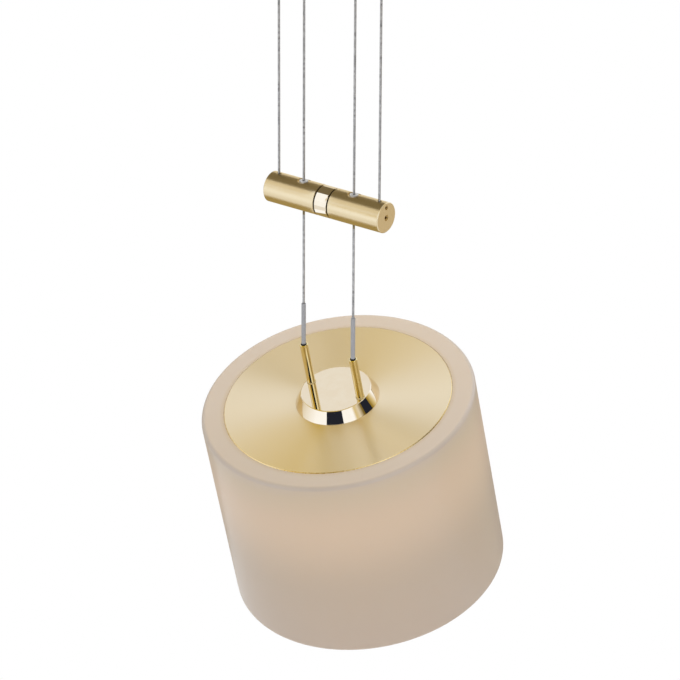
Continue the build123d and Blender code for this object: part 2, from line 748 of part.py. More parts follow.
def make_heat_sink():
    sink = rod_z(sink_d, sink_foot, plate_under)
    sink -= rod_z(sink_d - 2 * sink_wall, sink_floor, plate_top)
    sink -= rod_z(nipple_d + 2 * fit_gap, sink_foot - sink_h, plate_under)
    pocket_r = nut_af / sqrt(3) + nut_room
    sink -= rod_z(2 * pocket_r, sink_foot - sink_h, nut_pocket_z)
    slot = block(
        sink_d / 2 - fin_slot_depth, sink_d, -fin_slot_w / 2, fin_slot_w / 2,
        sink_foot + fin_slot_bottom, plate_under - fin_slot_top,
    )
    for i in range(fin_count):
        sink -= Rot(0, 0, 360 * (i + 0.5) / fin_count) * slot
    for x, y in board_screw_places():
        sink -= rod_z(board_screw_d, sink_foot - sink_h, sink_foot + board_screw_l + screw_set_back, x, y)
    for x in (-lead_x, lead_x):
        sink -= rod_z(led_lead_d + 2 * led_lead_gap, sink_foot - sink_h, plate_under, x)
    for x in (-inner_x, inner_x):
        sink -= rod_z(pin_washer_d + 2 * sink_washer_gap, pin_end_z - sink_washer_gap, plate_under, x)
    return sink


def board_screw_places():
    return ring_places(board_screw_count, board_r - board_screw_inset)


def make_board():
    board = rod_z(2 * board_r, board_under, sink_foot)
    for x, y in board_screw_places():
        board -= rod_z(board_screw_d, board_under - board_t, sink_foot + board_t, x, y)
    return board


def make_chip(x, y):
    return Pos(x, y, board_under - chip_t / 2) * Box(chip_size, chip_size, chip_t)


def make_diffuser():
    inner_r = sink_d / 2 + seat_gap
    outer_r = inner_r + diffuser_wall
    top = sink_foot + diffuser_lap
    foot = top - diffuser_h
    points = [
        (0, foot), (outer_r, foot), (outer_r, top), (inner_r, top),
        (inner_r, foot + diffuser_wall), (0, foot + diffuser_wall),
    ]
    inner_edge_r = max(diffuser_edge_r - diffuser_wall, 0.2)
    return turned(points, [0, diffuser_edge_r, 0, 0, inner_edge_r, 0])


def make_nut(z_from, z_to):
    return hex_z(nut_af, z_from, z_to) - rod_z(nipple_d + 2 * fit_gap, z_from - nut_t, z_to + nut_t)


def make_nipple():
    low = sink_foot + nipple_end
    high = plate_top + nipple_in_boss
    return rod_z(nipple_d, low, high) - rod_z(nipple_bore_d, low - nipple_d, high + nipple_d)


def save_head(node, *shapes):
    """Write one node of the head, swung with it about the line of the pin mouths."""
    save(node, *[head_place * shape for shape in shapes])


def save_head_pieces():
    right_pin, left_pin = both_sides(make_pin())
    save_head("pin_right", right_pin)
    save_head("pin_left", left_pin)
    tail = rod_z(rope_d, socket_z - tail_l, socket_z, inner_x)
    save_head("rope_tails", *both_sides(tail))
    save_head("pin_collars", *both_sides(make_pin_collar()))
    pin_washer = rod_z(pin_washer_d, pin_washer_under, plate_under, inner_x)
    pin_washer -= rod_z(pin_shank_d + 2 * fit_gap, pin_washer_under - pin_h, 0, inner_x)
    save_head("pin_washers", *both_sides(pin_washer))
    save_head("pin_tags", *both_sides(make_pin_tag()))
    save_head("pin_nuts", *both_sides(make_pin_nut()))
    save_head("boss", make_boss())
    save_head("top_plate", make_top_plate())
    save_head("glass_shade", make_glass_shade())
    save_head("shade_gaskets", make_gasket(lip_top), make_gasket(ring_top))
    save_head("clamp_ring", make_clamp_ring())
    pillar_places = ring_places(pillar_count, pillar_r)
    save_head("clamp_pillars", *[make_pillar(x, y) for x, y in pillar_places])
    ring_screws = [
        screw_up(
            ring_screw_d, ring_screw_head_d, ring_screw_head_t, ring_under, ring_under + ring_screw_l, x, y
        )
        for x, y in pillar_places
    ]
    save_head("clamp_ring_screws", *ring_screws)
    save_head("threaded_nipple", make_nipple())
    nut_tops = (plate_under, nut_pocket_z)
    save_head("nipple_nuts", *[make_nut(z - nut_t, z) for z in nut_tops])
    save_head("heat_sink", make_heat_sink())
    save_head("led_board", make_board())
    board_screws = [
        screw_up(
            board_screw_d, board_screw_head_d, board_screw_head_t, board_under,
            sink_foot + board_screw_l, x, y,
        )
        for x, y in board_screw_places()
    ]
    save_head("board_screws", *board_screws)
    save_head("led_chips", *[make_chip(x, y) for x, y in ring_places(chip_count, board_r - chip_inset)])
    lead = rod_z(led_lead_d, sink_foot, pin_tag_under, lead_x)
    save_head("led_leads", *both_sides(lead))
    save_head("diffuser", make_diffuser())


os.makedirs("parts", exist_ok=True)
save_ceiling_pieces()
save_sides("pulley", make_pulley())
save_ropes()
save_bar_pieces()
save_head_pieces()
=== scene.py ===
# %% [markdown]
# # A pendant lamp that is pulled up and down
# The lamp hangs from a round canopy by two thin steel ropes. A short brass bar on the ropes holds the
# height, and the head is an opal glass cylinder under a turned brass plate. The construction already exists
# as a frame of solid pieces at their real sizes, in metres. This lesson gives that frame its looks: the
# finishes, the stranded ropes, and the pieces whose surface needs more care than a plain solid has.

# %% Load the frame
import json
from math import atan2, ceil, cos, hypot, pi, radians, sin, tan
import bpy
from mathutils import Matrix, Quaternion, Vector


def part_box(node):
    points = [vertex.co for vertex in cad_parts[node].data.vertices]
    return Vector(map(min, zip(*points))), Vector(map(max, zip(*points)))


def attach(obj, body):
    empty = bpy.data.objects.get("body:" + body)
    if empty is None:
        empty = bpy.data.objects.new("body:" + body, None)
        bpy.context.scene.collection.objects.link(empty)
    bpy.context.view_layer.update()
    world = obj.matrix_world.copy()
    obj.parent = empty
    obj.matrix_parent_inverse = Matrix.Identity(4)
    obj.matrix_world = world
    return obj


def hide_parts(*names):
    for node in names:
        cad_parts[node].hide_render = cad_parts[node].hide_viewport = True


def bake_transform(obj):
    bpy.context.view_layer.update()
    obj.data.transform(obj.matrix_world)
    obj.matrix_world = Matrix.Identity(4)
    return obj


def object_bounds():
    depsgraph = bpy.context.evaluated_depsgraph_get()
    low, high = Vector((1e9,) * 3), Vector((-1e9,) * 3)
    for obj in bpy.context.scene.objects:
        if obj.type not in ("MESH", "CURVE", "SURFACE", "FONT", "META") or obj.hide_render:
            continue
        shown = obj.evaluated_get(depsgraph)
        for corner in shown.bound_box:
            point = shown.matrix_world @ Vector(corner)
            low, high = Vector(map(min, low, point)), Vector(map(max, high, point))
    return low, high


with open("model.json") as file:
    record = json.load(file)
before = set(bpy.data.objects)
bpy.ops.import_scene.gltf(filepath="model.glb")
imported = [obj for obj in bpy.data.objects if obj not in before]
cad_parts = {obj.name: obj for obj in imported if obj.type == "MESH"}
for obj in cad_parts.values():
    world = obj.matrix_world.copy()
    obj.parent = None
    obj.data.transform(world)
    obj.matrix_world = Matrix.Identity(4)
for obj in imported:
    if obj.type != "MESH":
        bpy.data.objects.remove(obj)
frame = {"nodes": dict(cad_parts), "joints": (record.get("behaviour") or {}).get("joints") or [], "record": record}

scene = bpy.context.scene
scene.view_settings.view_transform = "Standard"
nodes = frame["nodes"]
joints = {joint["name"]: joint for joint in frame["joints"]}
cad_low, cad_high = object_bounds()
print("frame of", len(nodes), "pieces, height", round(cad_high.z - cad_low.z, 4))

# %% [markdown]
# The head swings about a line through the mouths of its two pins, and the frame shows it swung. A piece of
# the head is easiest to shape while the head is upright, so the swing is undone to measure the frame's
# pieces and done again on each finished mesh. The head hangs upright midway between the limits of its
# swing.

# %% Places in the head
pivot = Vector(joints["swing"]["pos_m"])
swing_low, swing_high = joints["swing"]["range_deg"]
swing_angle = -radians(swing_low + swing_high) / 2
head_place = Matrix.Translation(pivot) @ Matrix.Rotation(swing_angle, 4, "X")


def upright(node):
    """Points of a head piece with the head upright and the line of the pin mouths at the origin."""
    return [head_place.inverted() @ v.co for v in nodes[node].data.vertices]


def radii(node, level=None, reach=0.0002):
    """Least and greatest distance from the head's axis among a piece's points, or those at one level."""
    found = [hypot(p.x, p.y) for p in upright(node) if level is None or abs(p.z - level) < reach]
    return min(found), max(found)


def levels(node):
    """Lowest and highest level of a head piece."""
    heights = [p.z for p in upright(node)]
    return min(heights), max(heights)


print("swing of", round(swing_angle, 4), "radians about", tuple(round(c, 4) for c in pivot))

# %% [markdown]
# A photograph of a product is taken with a long lens from a few metres away, so upright lines stay nearly
# parallel. The camera stands to the right of the bar's front and looks down. It is turned, and not shifted,
# to bring the pin mouths to their place in the picture.

# %% Camera
image_size = 680
focal_pixels = 4000
view_azimuth = radians(35.79)
view_elevation = radians(24.62)
view_roll = radians(0.32)
view_distance = 2.5694
pivot_pixel = (328.18, 351.48)


def direction(azimuth, elevation):
    """Unit vector: azimuth 0 is towards -Y, and grows towards +X."""
    return Vector((sin(azimuth) * cos(elevation), -cos(azimuth) * cos(elevation), sin(elevation)))


view_back = direction(view_azimuth, view_elevation)
view_right = Vector((cos(view_azimuth), sin(view_azimuth), 0))
view_up = view_back.cross(view_right)
pixel_at_pivot = view_distance / focal_pixels
aim = pivot + view_right * (image_size / 2 - pivot_pixel[0]) * pixel_at_pivot
aim += view_up * (pivot_pixel[1] - image_size / 2) * pixel_at_pivot
eye = pivot + view_back * view_distance
camera_data = bpy.data.cameras.new("view")
camera_data.lens = camera_data.sensor_width * focal_pixels / image_size
camera_data.clip_start = 0.05
camera = bpy.data.objects.new("view", camera_data)
camera.location = eye
turn = (aim - eye).to_track_quat("-Z", "Y") @ Quaternion((0, 0, 1), view_roll)
camera.rotation_euler = turn.to_euler()
scene.collection.objects.link(camera)
scene.camera = camera
print("lens", round(camera_data.lens, 1), "mm at", round(view_distance, 3), "m")

# %% [markdown]
# Each rope is six steel strands laid round each other. A plain tube with a striped picture would lose the
# notched outline, so the rope is a mesh: a six-lobed section that turns as it goes along the rope's line.
# The line is a NURBS curve through the rope's route, and the section's rings sit on the points of that
# curve. Ropes that carry a weight hang straight.

# %% Rope routes
rope_low, rope_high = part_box("inner_rope_right")
outer_low, outer_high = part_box("outer_rope_right")
rope_diameter = rope_high.x - rope_low.x
inner_x = (rope_low.x + rope_high.x) / 2
outer_x = (outer_low.x + outer_high.x) / 2
pulley_z = rope_high.z
pulley_x = (inner_x + outer_x) / 2
lap_radius = (outer_x - inner_x) / 2
lap_corner = lap_radius * tan(pi / 8)


def straight_route(x, low, high):
    return [(x, 0, low), (x, 0, (low + high) / 2), (x, 0, high)]


def lap_route(side):
    """Half turn over a pulley, inside the corners of half an octagon."""
    corners = [
        (-lap_radius, 0), (-lap_radius, lap_corner), (-lap_corner, lap_radius),
        (lap_corner, lap_radius), (lap_radius, lap_corner), (lap_radius, 0),
    ]
    return [(side * (pulley_x + along), 0, pulley_z + rise) for along, rise in corners]


print("rope of", round(rope_diameter, 4), "turning at radius", round(lap_radius, 5))

# %% [markdown]
# The section is the outline of six round strands that touch. Its rings stand a fraction of a strand's turn
# apart, close enough that the lay reads as smooth lines, and the two ropes are laid to opposite hands so
# that their twists balance.

# %% Stranded rope
strand_count = 6
points_per_strand = 8
strand_share = 0.24
lay_length = 6 * rope_diameter
ring_step = 0.0006


def line_length(points):
    return sum((b - a).length for a, b in zip(points, points[1:]))


def line_points(name, route, step):
    """Points along the NURBS line of a route, about one step apart."""
    length = line_length([Vector(place) for place in route])
    curve = bpy.data.curves.new(name, "CURVE")
    curve.dimensions = "3D"
    spline = curve.splines.new("NURBS")
    spline.points.add(len(route) - 1)
    for point, place in zip(spline.points, route):
        point.co = (*place, 1)
    spline.order_u = 3
    spline.use_endpoint_u = True
    spline.resolution_u = ceil(length / step / (len(route) - 2))
    holder = bpy.data.objects.new(name, curve)
    scene.collection.objects.link(holder)
    mesh = bpy.data.meshes.new_from_object(holder)
    points = [v.co.copy() for v in mesh.vertices]
    bpy.data.meshes.remove(mesh)
    bpy.data.objects.remove(holder)
    return points


def strand_radius(angle):
    """Distance from the rope's middle to its surface: the outline of round strands side by side."""
    share = 2 * pi / strand_count
    off = (angle + share / 2) % share - share / 2
    strand = rope_diameter * strand_share
    middle = rope_diameter / 2 - strand
    return middle * cos(off) + max(strand ** 2 - (middle * sin(off)) ** 2, 0) ** 0.5


def stranded_rope(name, route, hand):
    """Mesh of a rope along a route in a plane of constant Y, with its strands laid to one hand."""
    points = line_points(name, route, ring_step)
    around = strand_count * points_per_strand
    side = Vector((0, 1, 0))
    verts, run = [], 0.0
    for i, point in enumerate(points):
        ahead = (points[min(i + 1, len(points) - 1)] - points[max(i - 1, 0)]).normalized()
        across = side.cross(ahead)
        run += (point - points[max(i - 1, 0)]).length
        twist = hand * 2 * pi * run / lay_length
        for k in range(around):
            angle = 2 * pi * k / around
            r = strand_radius(angle)
            verts.append(point + across * r * cos(angle + twist) + side * r * sin(angle + twist))
    faces = []
    for i in range(len(points) - 1):
        for k in range(around):
            a, b = i * around + k, i * around + (k + 1) % around
            faces.append((a, b, b + around, a + around))
    faces.append(tuple(reversed(range(around))))
    faces.append(tuple(range(len(verts) - around, len(verts))))
    mesh = bpy.data.meshes.new(name)
    mesh.from_pydata(verts, [], faces)
    mesh.shade_smooth()
    rope = bpy.data.objects.new(name, mesh)
    scene.collection.objects.link(rope)
    return rope, points


# %% [markdown]
# The inner ropes belong to the ceiling at the top and to the head at the bottom, and the outer ropes to the
# ceiling and the bar. Each straight stretch is built from its foot up to the pulley; the body at its foot and
# the levels of a blend between two bodies are listed beside it, but nothing here reads them. The outer rope
# loses most of its length when the bar is at the top, which is why its listed blend starts above the pulley.
# The lap over the pulley rides on the ceiling.

# %% Inner and outer ropes
outer_blend_rise = 0.055
sides = {"left": -1, "right": 1}
rope_pieces = []
for word, side in sides.items():
    sleeve_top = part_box(f"rope_sleeve_{word}")[1].z
    bar_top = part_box("centre_ring")[1].z
    stretches = [
        ("inner", inner_x, rope_low.z, "rope_hanger", pulley_z, sleeve_top),
        ("outer", outer_x, outer_low.z, "brake_bar", pulley_z + outer_blend_rise, bar_top),
    ]
    lengths = {}
    for kind, x, foot, lower_body, blend_top, blend_foot in stretches:
        rope, line = stranded_rope(
            f"stranded_{kind}_{word}", straight_route(side * x, foot, pulley_z), side
        )
        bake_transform(rope)
        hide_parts(f"{kind}_rope_{word}")
        rope_pieces.append(rope)
        lengths[kind] = round(line_length(line), 4)
    lap, lap_line = stranded_rope(f"stranded_lap_{word}", lap_route(side), side)
    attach(lap, "ceiling_mount")
    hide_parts(f"pulley_rope_{word}")
    rope_pieces.append(lap)
    lengths["lap"] = round(line_length(lap_line), 4)
    print(word, "rope stretches", lengths)

# %% [markdown]
# Looks and lights are made of nodes: a material or the world holds a tree of them, and links carry values
# from one to the next. A few helpers keep that short. They start a material, add a node, fill its inputs
# and link it.

# %% Helpers for nodes


def finish(name):
    """New material, its node tree and its shader."""
    material = bpy.data.materials.new(name)
    material.use_nodes = True
    return material, material.node_tree, material.node_tree.nodes["Principled BSDF"]


def fill_inputs(node, values):
    for key, value in values.items():
        node.inputs[key].default_value = value


def place_node(tree, kind, values={}, **settings):
    """Add a node, set its properties, and fill its inputs by name."""
    node = tree.nodes.new(kind)
    for key, value in settings.items():
        setattr(node, key, value)
    fill_inputs(node, values)
    return node


def place_ramp(tree, stops):
    """Add a colour ramp with (place, colour) stops."""
    ramp = tree.nodes.new("ShaderNodeValToRGB")
    elements = ramp.color_ramp.elements
    elements.remove(elements[1])
    for i, (place, colour) in enumerate(stops):
        stop = elements.new(place) if i else elements[0]
        stop.position = place
        stop.color = colour
    return ramp


def wire(tree, *links):
    """Link nodes of a tree: each link gives a node, its output, the next node and its input."""
    for source, output, target, socket in links:
        tree.links.new(source.outputs[output], target.inputs[socket])


# %% [markdown]
# The stage is plain: a pale floor well below the lamp, and soft light. The picture's ground is white, so
# the floor and the world show white to the camera and to reflections, while they light the lamp at a lower
# level. A light path node tells those rays apart. From below, the floor is clear, so that a view from there
# shows the inside of the shade.

# %% Floor and world
floor_drop = 0.22
floor_size = 12
floor_shade = 0.80
floor_roughness = 0.9
world_fill = 0.50


def show_face(tree, shader):
    """Let a sheet show a shader on its face, and leave its back clear."""
    clear = tree.nodes.new("ShaderNodeBsdfTransparent")
    behind = tree.nodes.new("ShaderNodeNewGeometry")
    mix = tree.nodes.new("ShaderNodeMixShader")
    wire(
        tree, (behind, "Backfacing", mix, 0), (shader, 0, mix, 1), (clear, 0, mix, 2),
        (mix, 0, tree.nodes["Material Output"], "Surface"),
    )


def white_for_seen_rays(tree):
    """Value that is 1 for rays that a viewer or a mirror sees directly, and 0 for those that only light."""
    path = tree.nodes.new("ShaderNodeLightPath")
    seen = path.outputs["Is Camera Ray"]
    for output in ("Is Glossy Ray", "Is Transmission Ray"):
        join = tree.nodes.new("ShaderNodeMath")
        join.operation = "MAXIMUM"
        tree.links.new(seen, join.inputs[0])
        tree.links.new(path.outputs[output], join.inputs[1])
        seen = join.outputs[0]
    return seen


world = bpy.data.worlds.new("studio")
scene.world = world
world.use_nodes = True
world_tree = world.node_tree
ground = world_tree.nodes["Background"]
fill_inputs(ground, {"Color": (1, 1, 1, 1)})
level = place_node(world_tree, "ShaderNodeMix", {"A": world_fill, "B": 1.0})
world_tree.links.new(white_for_seen_rays(world_tree), level.inputs["Factor"])
world_tree.links.new(level.outputs["Result"], ground.inputs["Strength"])

bpy.ops.mesh.primitive_plane_add(size=floor_size, location=(0, 0, cad_low.z - floor_drop))
floor = bpy.context.object
floor.name = "floor"
floor_material, floor_tree, floor_paint = finish("floor_pale")
floor_colour = (floor_shade, floor_shade, floor_shade, 1)
fill_inputs(floor_paint, {"Base Color": floor_colour, "Roughness": floor_roughness})
floor_white = floor_tree.nodes.new("ShaderNodeEmission")
floor_mix = floor_tree.nodes.new("ShaderNodeMixShader")
floor_tree.links.new(white_for_seen_rays(floor_tree), floor_mix.inputs[0])
wire(floor_tree, (floor_paint, 0, floor_mix, 1), (floor_white, 0, floor_mix, 2))
show_face(floor_tree, floor_mix)
floor.data.materials.append(floor_material)
print("floor at", round(cad_low.z - floor_drop, 3))

# %% [markdown]
# Soft boxes light the lamp from the front left, from above and from the camera's side. They are left out of
# reflections, so that the brightness of the glass and the bands in the brass can be set one by one.

# %% Soft boxes


def soft_box(name, azimuth, elevation, distance, width, height, radiance):
    """Rectangular area light that faces the head."""
    data = bpy.data.lights.new(name, "AREA")
    data.shape = "RECTANGLE"
    data.size = width
    data.size_y = height
    data.energy = radiance * pi * width * height
    light = bpy.data.objects.new(name, data)
    toward = direction(radians(azimuth), radians(elevation))
    light.location = pivot + toward * distance
    light.rotation_euler = toward.to_track_quat("Z", "Y").to_euler()
    light.visible_camera = False
    light.visible_glossy = False
    scene.collection.objects.link(light)


# Name, azimuth, elevation, distance, width, height, radiance.
soft_boxes = [
    ("soft_box_left", -47, 11, 1.0, 2.3, 1.0, 0.25),
    ("soft_box_top", 200, 62, 0.75, 0.7, 0.7, 1.9),
    ("soft_box_front", 48, 20, 1.4, 1.2, 1.0, 1.46),
]
for row in soft_boxes:
    soft_box(*row)

# %% [markdown]
# Polished metal has no look of its own: it shows the studio. Beside the white world there are white cards
# for the bright bands of the boss, black flags for its dark ones, and amber cards that deepen the gold
# where the plate and the bar look up and down. The cards are on the stage, show in reflections alone, and
# cast no shadow.

# %% Reflection cards


def card(name, centre, facing, up, width, height, shades):
    """Card that only reflections show, and only its face. Shades are (share of width, colour) pairs, from the
    edge that is at the left as seen from the lamp."""
    bpy.ops.mesh.primitive_plane_add(size=1)
    plane = bpy.context.object
    plane.name = name
    plane.data.transform(Matrix.Diagonal((width, height, 1, 1)))
    plane.location = centre
    across = up.cross(facing).normalized()
    plane.rotation_euler = Matrix((across, facing.cross(across), facing)).transposed().to_euler()
    plane.visible_camera = False
    plane.visible_diffuse = False
    plane.visible_shadow = False
    plane.visible_transmission = False
    material, tree, _ = finish(name)
    coordinates = tree.nodes.new("ShaderNodeTexCoord")
    split = tree.nodes.new("ShaderNodeSeparateXYZ")
    share = place_node(tree, "ShaderNodeMapRange", {"From Min": width / 2, "From Max": -width / 2})
    ramp = place_ramp(tree, [(place, (*colour, 1)) for place, colour in shades])
    glow = tree.nodes.new("ShaderNodeEmission")
    wire(
        tree, (coordinates, "Object", split, 0), (split, "X", share, "Value"), (share, "Result", ramp, "Fac"),
        (ramp, "Color", glow, "Color"),
    )
    show_face(tree, glow)
    plane.data.materials.append(material)


def card_round_head(name, azimuth, elevation, distance, width, height, shades):
    toward = direction(radians(azimuth), radians(elevation))
    card(name, pivot + toward * distance, -toward, world_up, width, height, shades)


world_up = Vector((0, 0, 1))
white = (1.24, 1.32, 1.48)
cream = (0.90, 0.84, 0.70)
pale_gold = (0.84, 0.70, 0.36)
deep_gold = (0.40, 0.28, 0.05)
olive = (0.24, 0.17, 0.03)
bronze = (0.40, 0.31, 0.15)
navy = (0.020, 0.024, 0.042)
# Name, azimuth, elevation, distance, width, height, shades.
head_cards = [
    ("card_white_left", -47, 11, 1.0, 2.3, 1.0, [(0, bronze), (0.24, cream), (0.66, white)]),
    ("card_navy_front", 22, 13, 0.9, 0.67, 0.516, [(0, navy)]),
    ("card_white_right", 72, 24, 1.0, 1.16, 1.1,
     [(0, white), (0.47, white), (0.58, pale_gold), (0.72, cream), (0.90, olive)]),
    ("card_navy_right", 113.5, 18, 0.9, 0.383, 0.70, [(0, navy)]),
    ("card_gold_right", 150, 20, 1.0, 1.05, 1.2,
     [(0, olive), (0.15, deep_gold), (0.35, pale_gold), (0.6, white)]),
    ("card_gold_left", -114, 14, 1.0, 0.45, 0.45, [(0, bronze), (1, pale_gold)]),
]
for row in head_cards:
    card_round_head(*row)

# %% [markdown]
# The turning marks of the plate spread what it mirrors into a fan that stands across the marks. In front of
# the boss and behind it the fan stands upright, and amber cards above and below the mirrored direction turn
# these parts golden. At the left and the right the fan lies flat and keeps the white between the cards.

# %% Cards for the plate
plate_normal = head_place.to_3x3() @ world_up
plate_middle = head_place @ Vector((0, 0, levels("top_plate")[1]))
mirrored = plate_normal * (2 * plate_normal.dot(view_back)) - view_back
fan_turn = radians(-23)
fan_side = plate_normal.cross(view_back).normalized()
fan_up = Matrix.Rotation(fan_turn, 3, mirrored) @ fan_side.cross(mirrored)
amber = (0.70, 0.52, 0.08)
pale_amber = (0.92, 0.84, 0.64)


def card_in_fan(name, start, end, distance, width, shades, aside=0.0):
    """Card between two angles from the mirrored direction, up along the fan, and moved aside."""
    middle = radians(start + end) / 2
    toward = mirrored * cos(middle) + fan_up * sin(middle)
    up = fan_up * cos(middle) - mirrored * sin(middle)
    height = 2 * distance * tan(radians(end - start) / 2)
    centre = plate_middle + toward * distance + toward.cross(up) * aside
    card(name, centre, -toward, up, width, height, shades)


card_in_fan("card_amber_above", 11, 96, 0.45, 0.74, [(0, amber)], aside=0.11)
card_in_fan("card_amber_behind", -48, -14, 1.6, 1.4, [(0, pale_amber)])
print("plate mirrors", tuple(round(c, 3) for c in mirrored))

# %% [markdown]
# The bar is a long cylinder that mirrors the studio in stripes. Brown cards close over it make the dark
# band along its top, cream ones and a pale one beside them soften the step from dark to bright, and two
# slanted white ones keep its ring bright. An ochre card close under it makes the band along its underside,
# and a sand one the tone of its end. Most are so close that the plate below sees little of them. Behind the
# shade, a grey card gives the glass its thin dark outline, because glass mirrors most at a glancing angle.
# A pale card lies over the canopy, where the ceiling would be.

# %% Cards for the bar and the glass
brown = (0.205, 0.165, 0.090)
ochre = (0.44, 0.34, 0.14)
sand = (0.72, 0.62, 0.46)
grey = (0.46, 0.39, 0.32)
pale_cream = (1.04, 1.05, 1.08)
forward = Vector((0, 1, 0))
ring_low, ring_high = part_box("centre_ring")
bar_middle = (ring_low + ring_high) / 2
bar_card_gap = 0.018
# Name, offset from the middle of the bar, length, depth, colour.
bar_cards = [
    ("card_brown_far", (-0.0065, 0.0065, bar_card_gap), 0.104, 0.011, brown),
    ("card_brown_left", (-0.0350, -0.0055, bar_card_gap), 0.047, 0.013, brown),
    ("card_brown_right", (0.0220, -0.0055, bar_card_gap), 0.047, 0.013, brown),
    ("card_brown_ring", (-0.0062, -0.0043, 0.0172), 0.0125, 0.0107, brown),
    ("card_cream_far", (-0.0140, 0.0235, bar_card_gap), 0.112, 0.023, cream),
    ("card_cream_front", (-0.0100, -0.0210, bar_card_gap), 0.112, 0.018, cream),
    ("card_pale_front", (-0.0150, -0.0410, bar_card_gap), 0.118, 0.022, pale_cream),
    ("card_ochre_under", (-0.0060, -0.0060, -0.0135), 0.100, 0.0205, ochre),
]
for name, offset, length, depth, colour in bar_cards:
    facing = world_up if offset[2] < 0 else -world_up
    card(name, bar_middle + Vector(offset), facing, forward, length, depth, [(0, colour)])
ring_card_width = 1.25 * (ring_high.x - ring_low.x)
# Name, and the offsets of the two ends.
ring_cards = [
    ("card_white_ring_front", (-0.0043, -0.0050, 0.0176), (-0.0574, -0.0997, 0.0176)),
    ("card_white_ring_under", (-0.0053, -0.0096, -0.0131), (-0.0082, -0.0175, -0.0131)),
]
for name, start, end in ring_cards:
    along = Vector(end) - Vector(start)
    across = ring_card_width * abs(along.y) / along.length
    facing = world_up if start[2] < 0 else -world_up
    centre = bar_middle + (Vector(start) + Vector(end)) / 2
    card(name, centre, facing, along.normalized(), across, along.length, [(0, white)])
bar_end_toward = direction(radians(145), radians(-23))
bar_end_centre = bar_middle + bar_end_toward * 0.6
bar_end_size = 0.5
card("card_sand_end", bar_end_centre, -bar_end_toward, world_up, bar_end_size, bar_end_size, [(0, sand)])
shade_middle = head_place @ Vector((0, 0, sum(levels("glass_shade")) / 2))
behind_shade = shade_middle - view_back * 0.5
behind_width, behind_height = 1.1, 0.6
card("card_grey_behind", behind_shade, view_back, world_up, behind_width, behind_height, [(0, grey)])
over_canopy = Vector((0, 0, cad_high.z + 0.03))
ceiling_size = 0.17
ceiling_shades = [(0, sand), (1, white)]
card("card_white_ceiling", over_canopy, -world_up, forward, ceiling_size, ceiling_size, ceiling_shades)

# %% [markdown]
# Finishes come next. Colours are written as they would be picked from a screen, from 0 to 255, and turned
# into the linear values that shaders use. Effects that several finishes share are node groups: a group puts
# out values that change over a surface, and each finish places it with its own numbers.

# %% Helpers for finishes


def screen_colour(red, green, blue):
    """Linear colour of a screen colour."""
    parts = [c / 255 for c in (red, green, blue)]
    return (*[p / 12.92 if p <= 0.04045 else ((p + 0.055) / 1.055) ** 2.4 for p in parts], 1)


def noise_group(name, scale_name, scale):
    """Node group that takes a place, a scale and two limits, and puts out a value and a height."""
    group = bpy.data.node_groups.new(name, "ShaderNodeTree")
    group.interface.new_socket("Vector", in_out="INPUT", socket_type="NodeSocketVector")
    for socket, value in ((scale_name, scale), ("Least", 0.2), ("Most", 0.4)):
        made = group.interface.new_socket(socket, in_out="INPUT", socket_type="NodeSocketFloat")
        made.default_value = value
    for socket in ("Value", "Height"):
        group.interface.new_socket(socket, in_out="OUTPUT", socket_type="NodeSocketFloat")
    return group, group.nodes.new("NodeGroupInput")


def put_out(group, entry, noise):
    """Put out a noise as a value between the limits of its group, and as a height."""
    spread = place_node(group, "ShaderNodeMapRange", {"From Min": 0.3, "From Max": 0.7})
    end = group.nodes.new("NodeGroupOutput")
    wire(
        group, (noise, "Fac", spread, "Value"), (entry, "Least", spread, "To Min"),
        (entry, "Most", spread, "To Max"), (spread, "Result", end, "Value"), (noise, "Fac", end, "Height"),
    )


def use_group(tree, group, place, values):
    """Add a group that reads a place."""
    node = place_node(tree, "ShaderNodeGroup", values, node_tree=group)
    tree.links.new(place, node.inputs["Vector"])
    return node


def add_relief(tree, shader, marks, strength, depth):
    """Let the marks of a group set the roughness and a shallow relief."""
    bump = place_node(tree, "ShaderNodeBump", {"Strength": strength, "Distance": depth})
    wire(
        tree, (marks, "Value", shader, "Roughness"), (marks, "Height", bump, "Height"),
        (bump, "Normal", shader, "Normal"),
    )


def ease(tree, start, end):
    """Node that goes softly from 0 to 1 between two values."""
    limits = {"From Min": start, "From Max": end}
    return place_node(tree, "ShaderNodeMapRange", limits, interpolation_type="SMOOTHSTEP")


def from_axis(tree, split):
    """Node with the distance from the Z axis, for coordinates that are split already."""
    flat = tree.nodes.new("ShaderNodeCombineXYZ")
    distance = place_node(tree, "ShaderNodeVectorMath", operation="LENGTH")
    wire(tree, (split, "X", flat, "X"), (split, "Y", flat, "Y"), (flat, 0, distance, 0))
    return distance


def object_place(tree, middle=(0, 0, 0), turn=(0, 0, 0)):
    """Object coordinates measured from a middle, with a turn undone."""
    coordinates = tree.nodes.new("ShaderNodeTexCoord")
    mapping = place_node(
        tree, "ShaderNodeMapping", {"Location": middle, "Rotation": turn}, vector_type="TEXTURE"
    )
    tree.links.new(coordinates.outputs["Object"], mapping.inputs["Vector"])
    return mapping.outputs["Vector"]


def head_coordinates(tree):
    return object_place(tree, pivot, (swing_angle, 0, 0))


# %% [markdown]
# No made surface is quite even. The first shared group is a fine noise that can be read as a value between
# two limits, for roughness, and as a height, for relief and for drifts of colour.

# %% Group of fine speckle
speckle, speckle_in = noise_group("fine_speckle", "Scale", 400.0)
speckle_noise = place_node(speckle, "ShaderNodeTexNoise", {"Detail": 4.0, "Roughness": 0.6})
wire(speckle, (speckle_in, "Vector", speckle_noise, "Vector"), (speckle_in, "Scale", speckle_noise, "Scale"))
put_out(speckle, speckle_in, speckle_noise)
print("group", speckle.name)

# %% [markdown]
# A lathe leaves rings. The second group measures the distance from the axis and looks up a noise along that
# distance alone, so that its marks run round the piece, each a little deeper or shallower than the next.

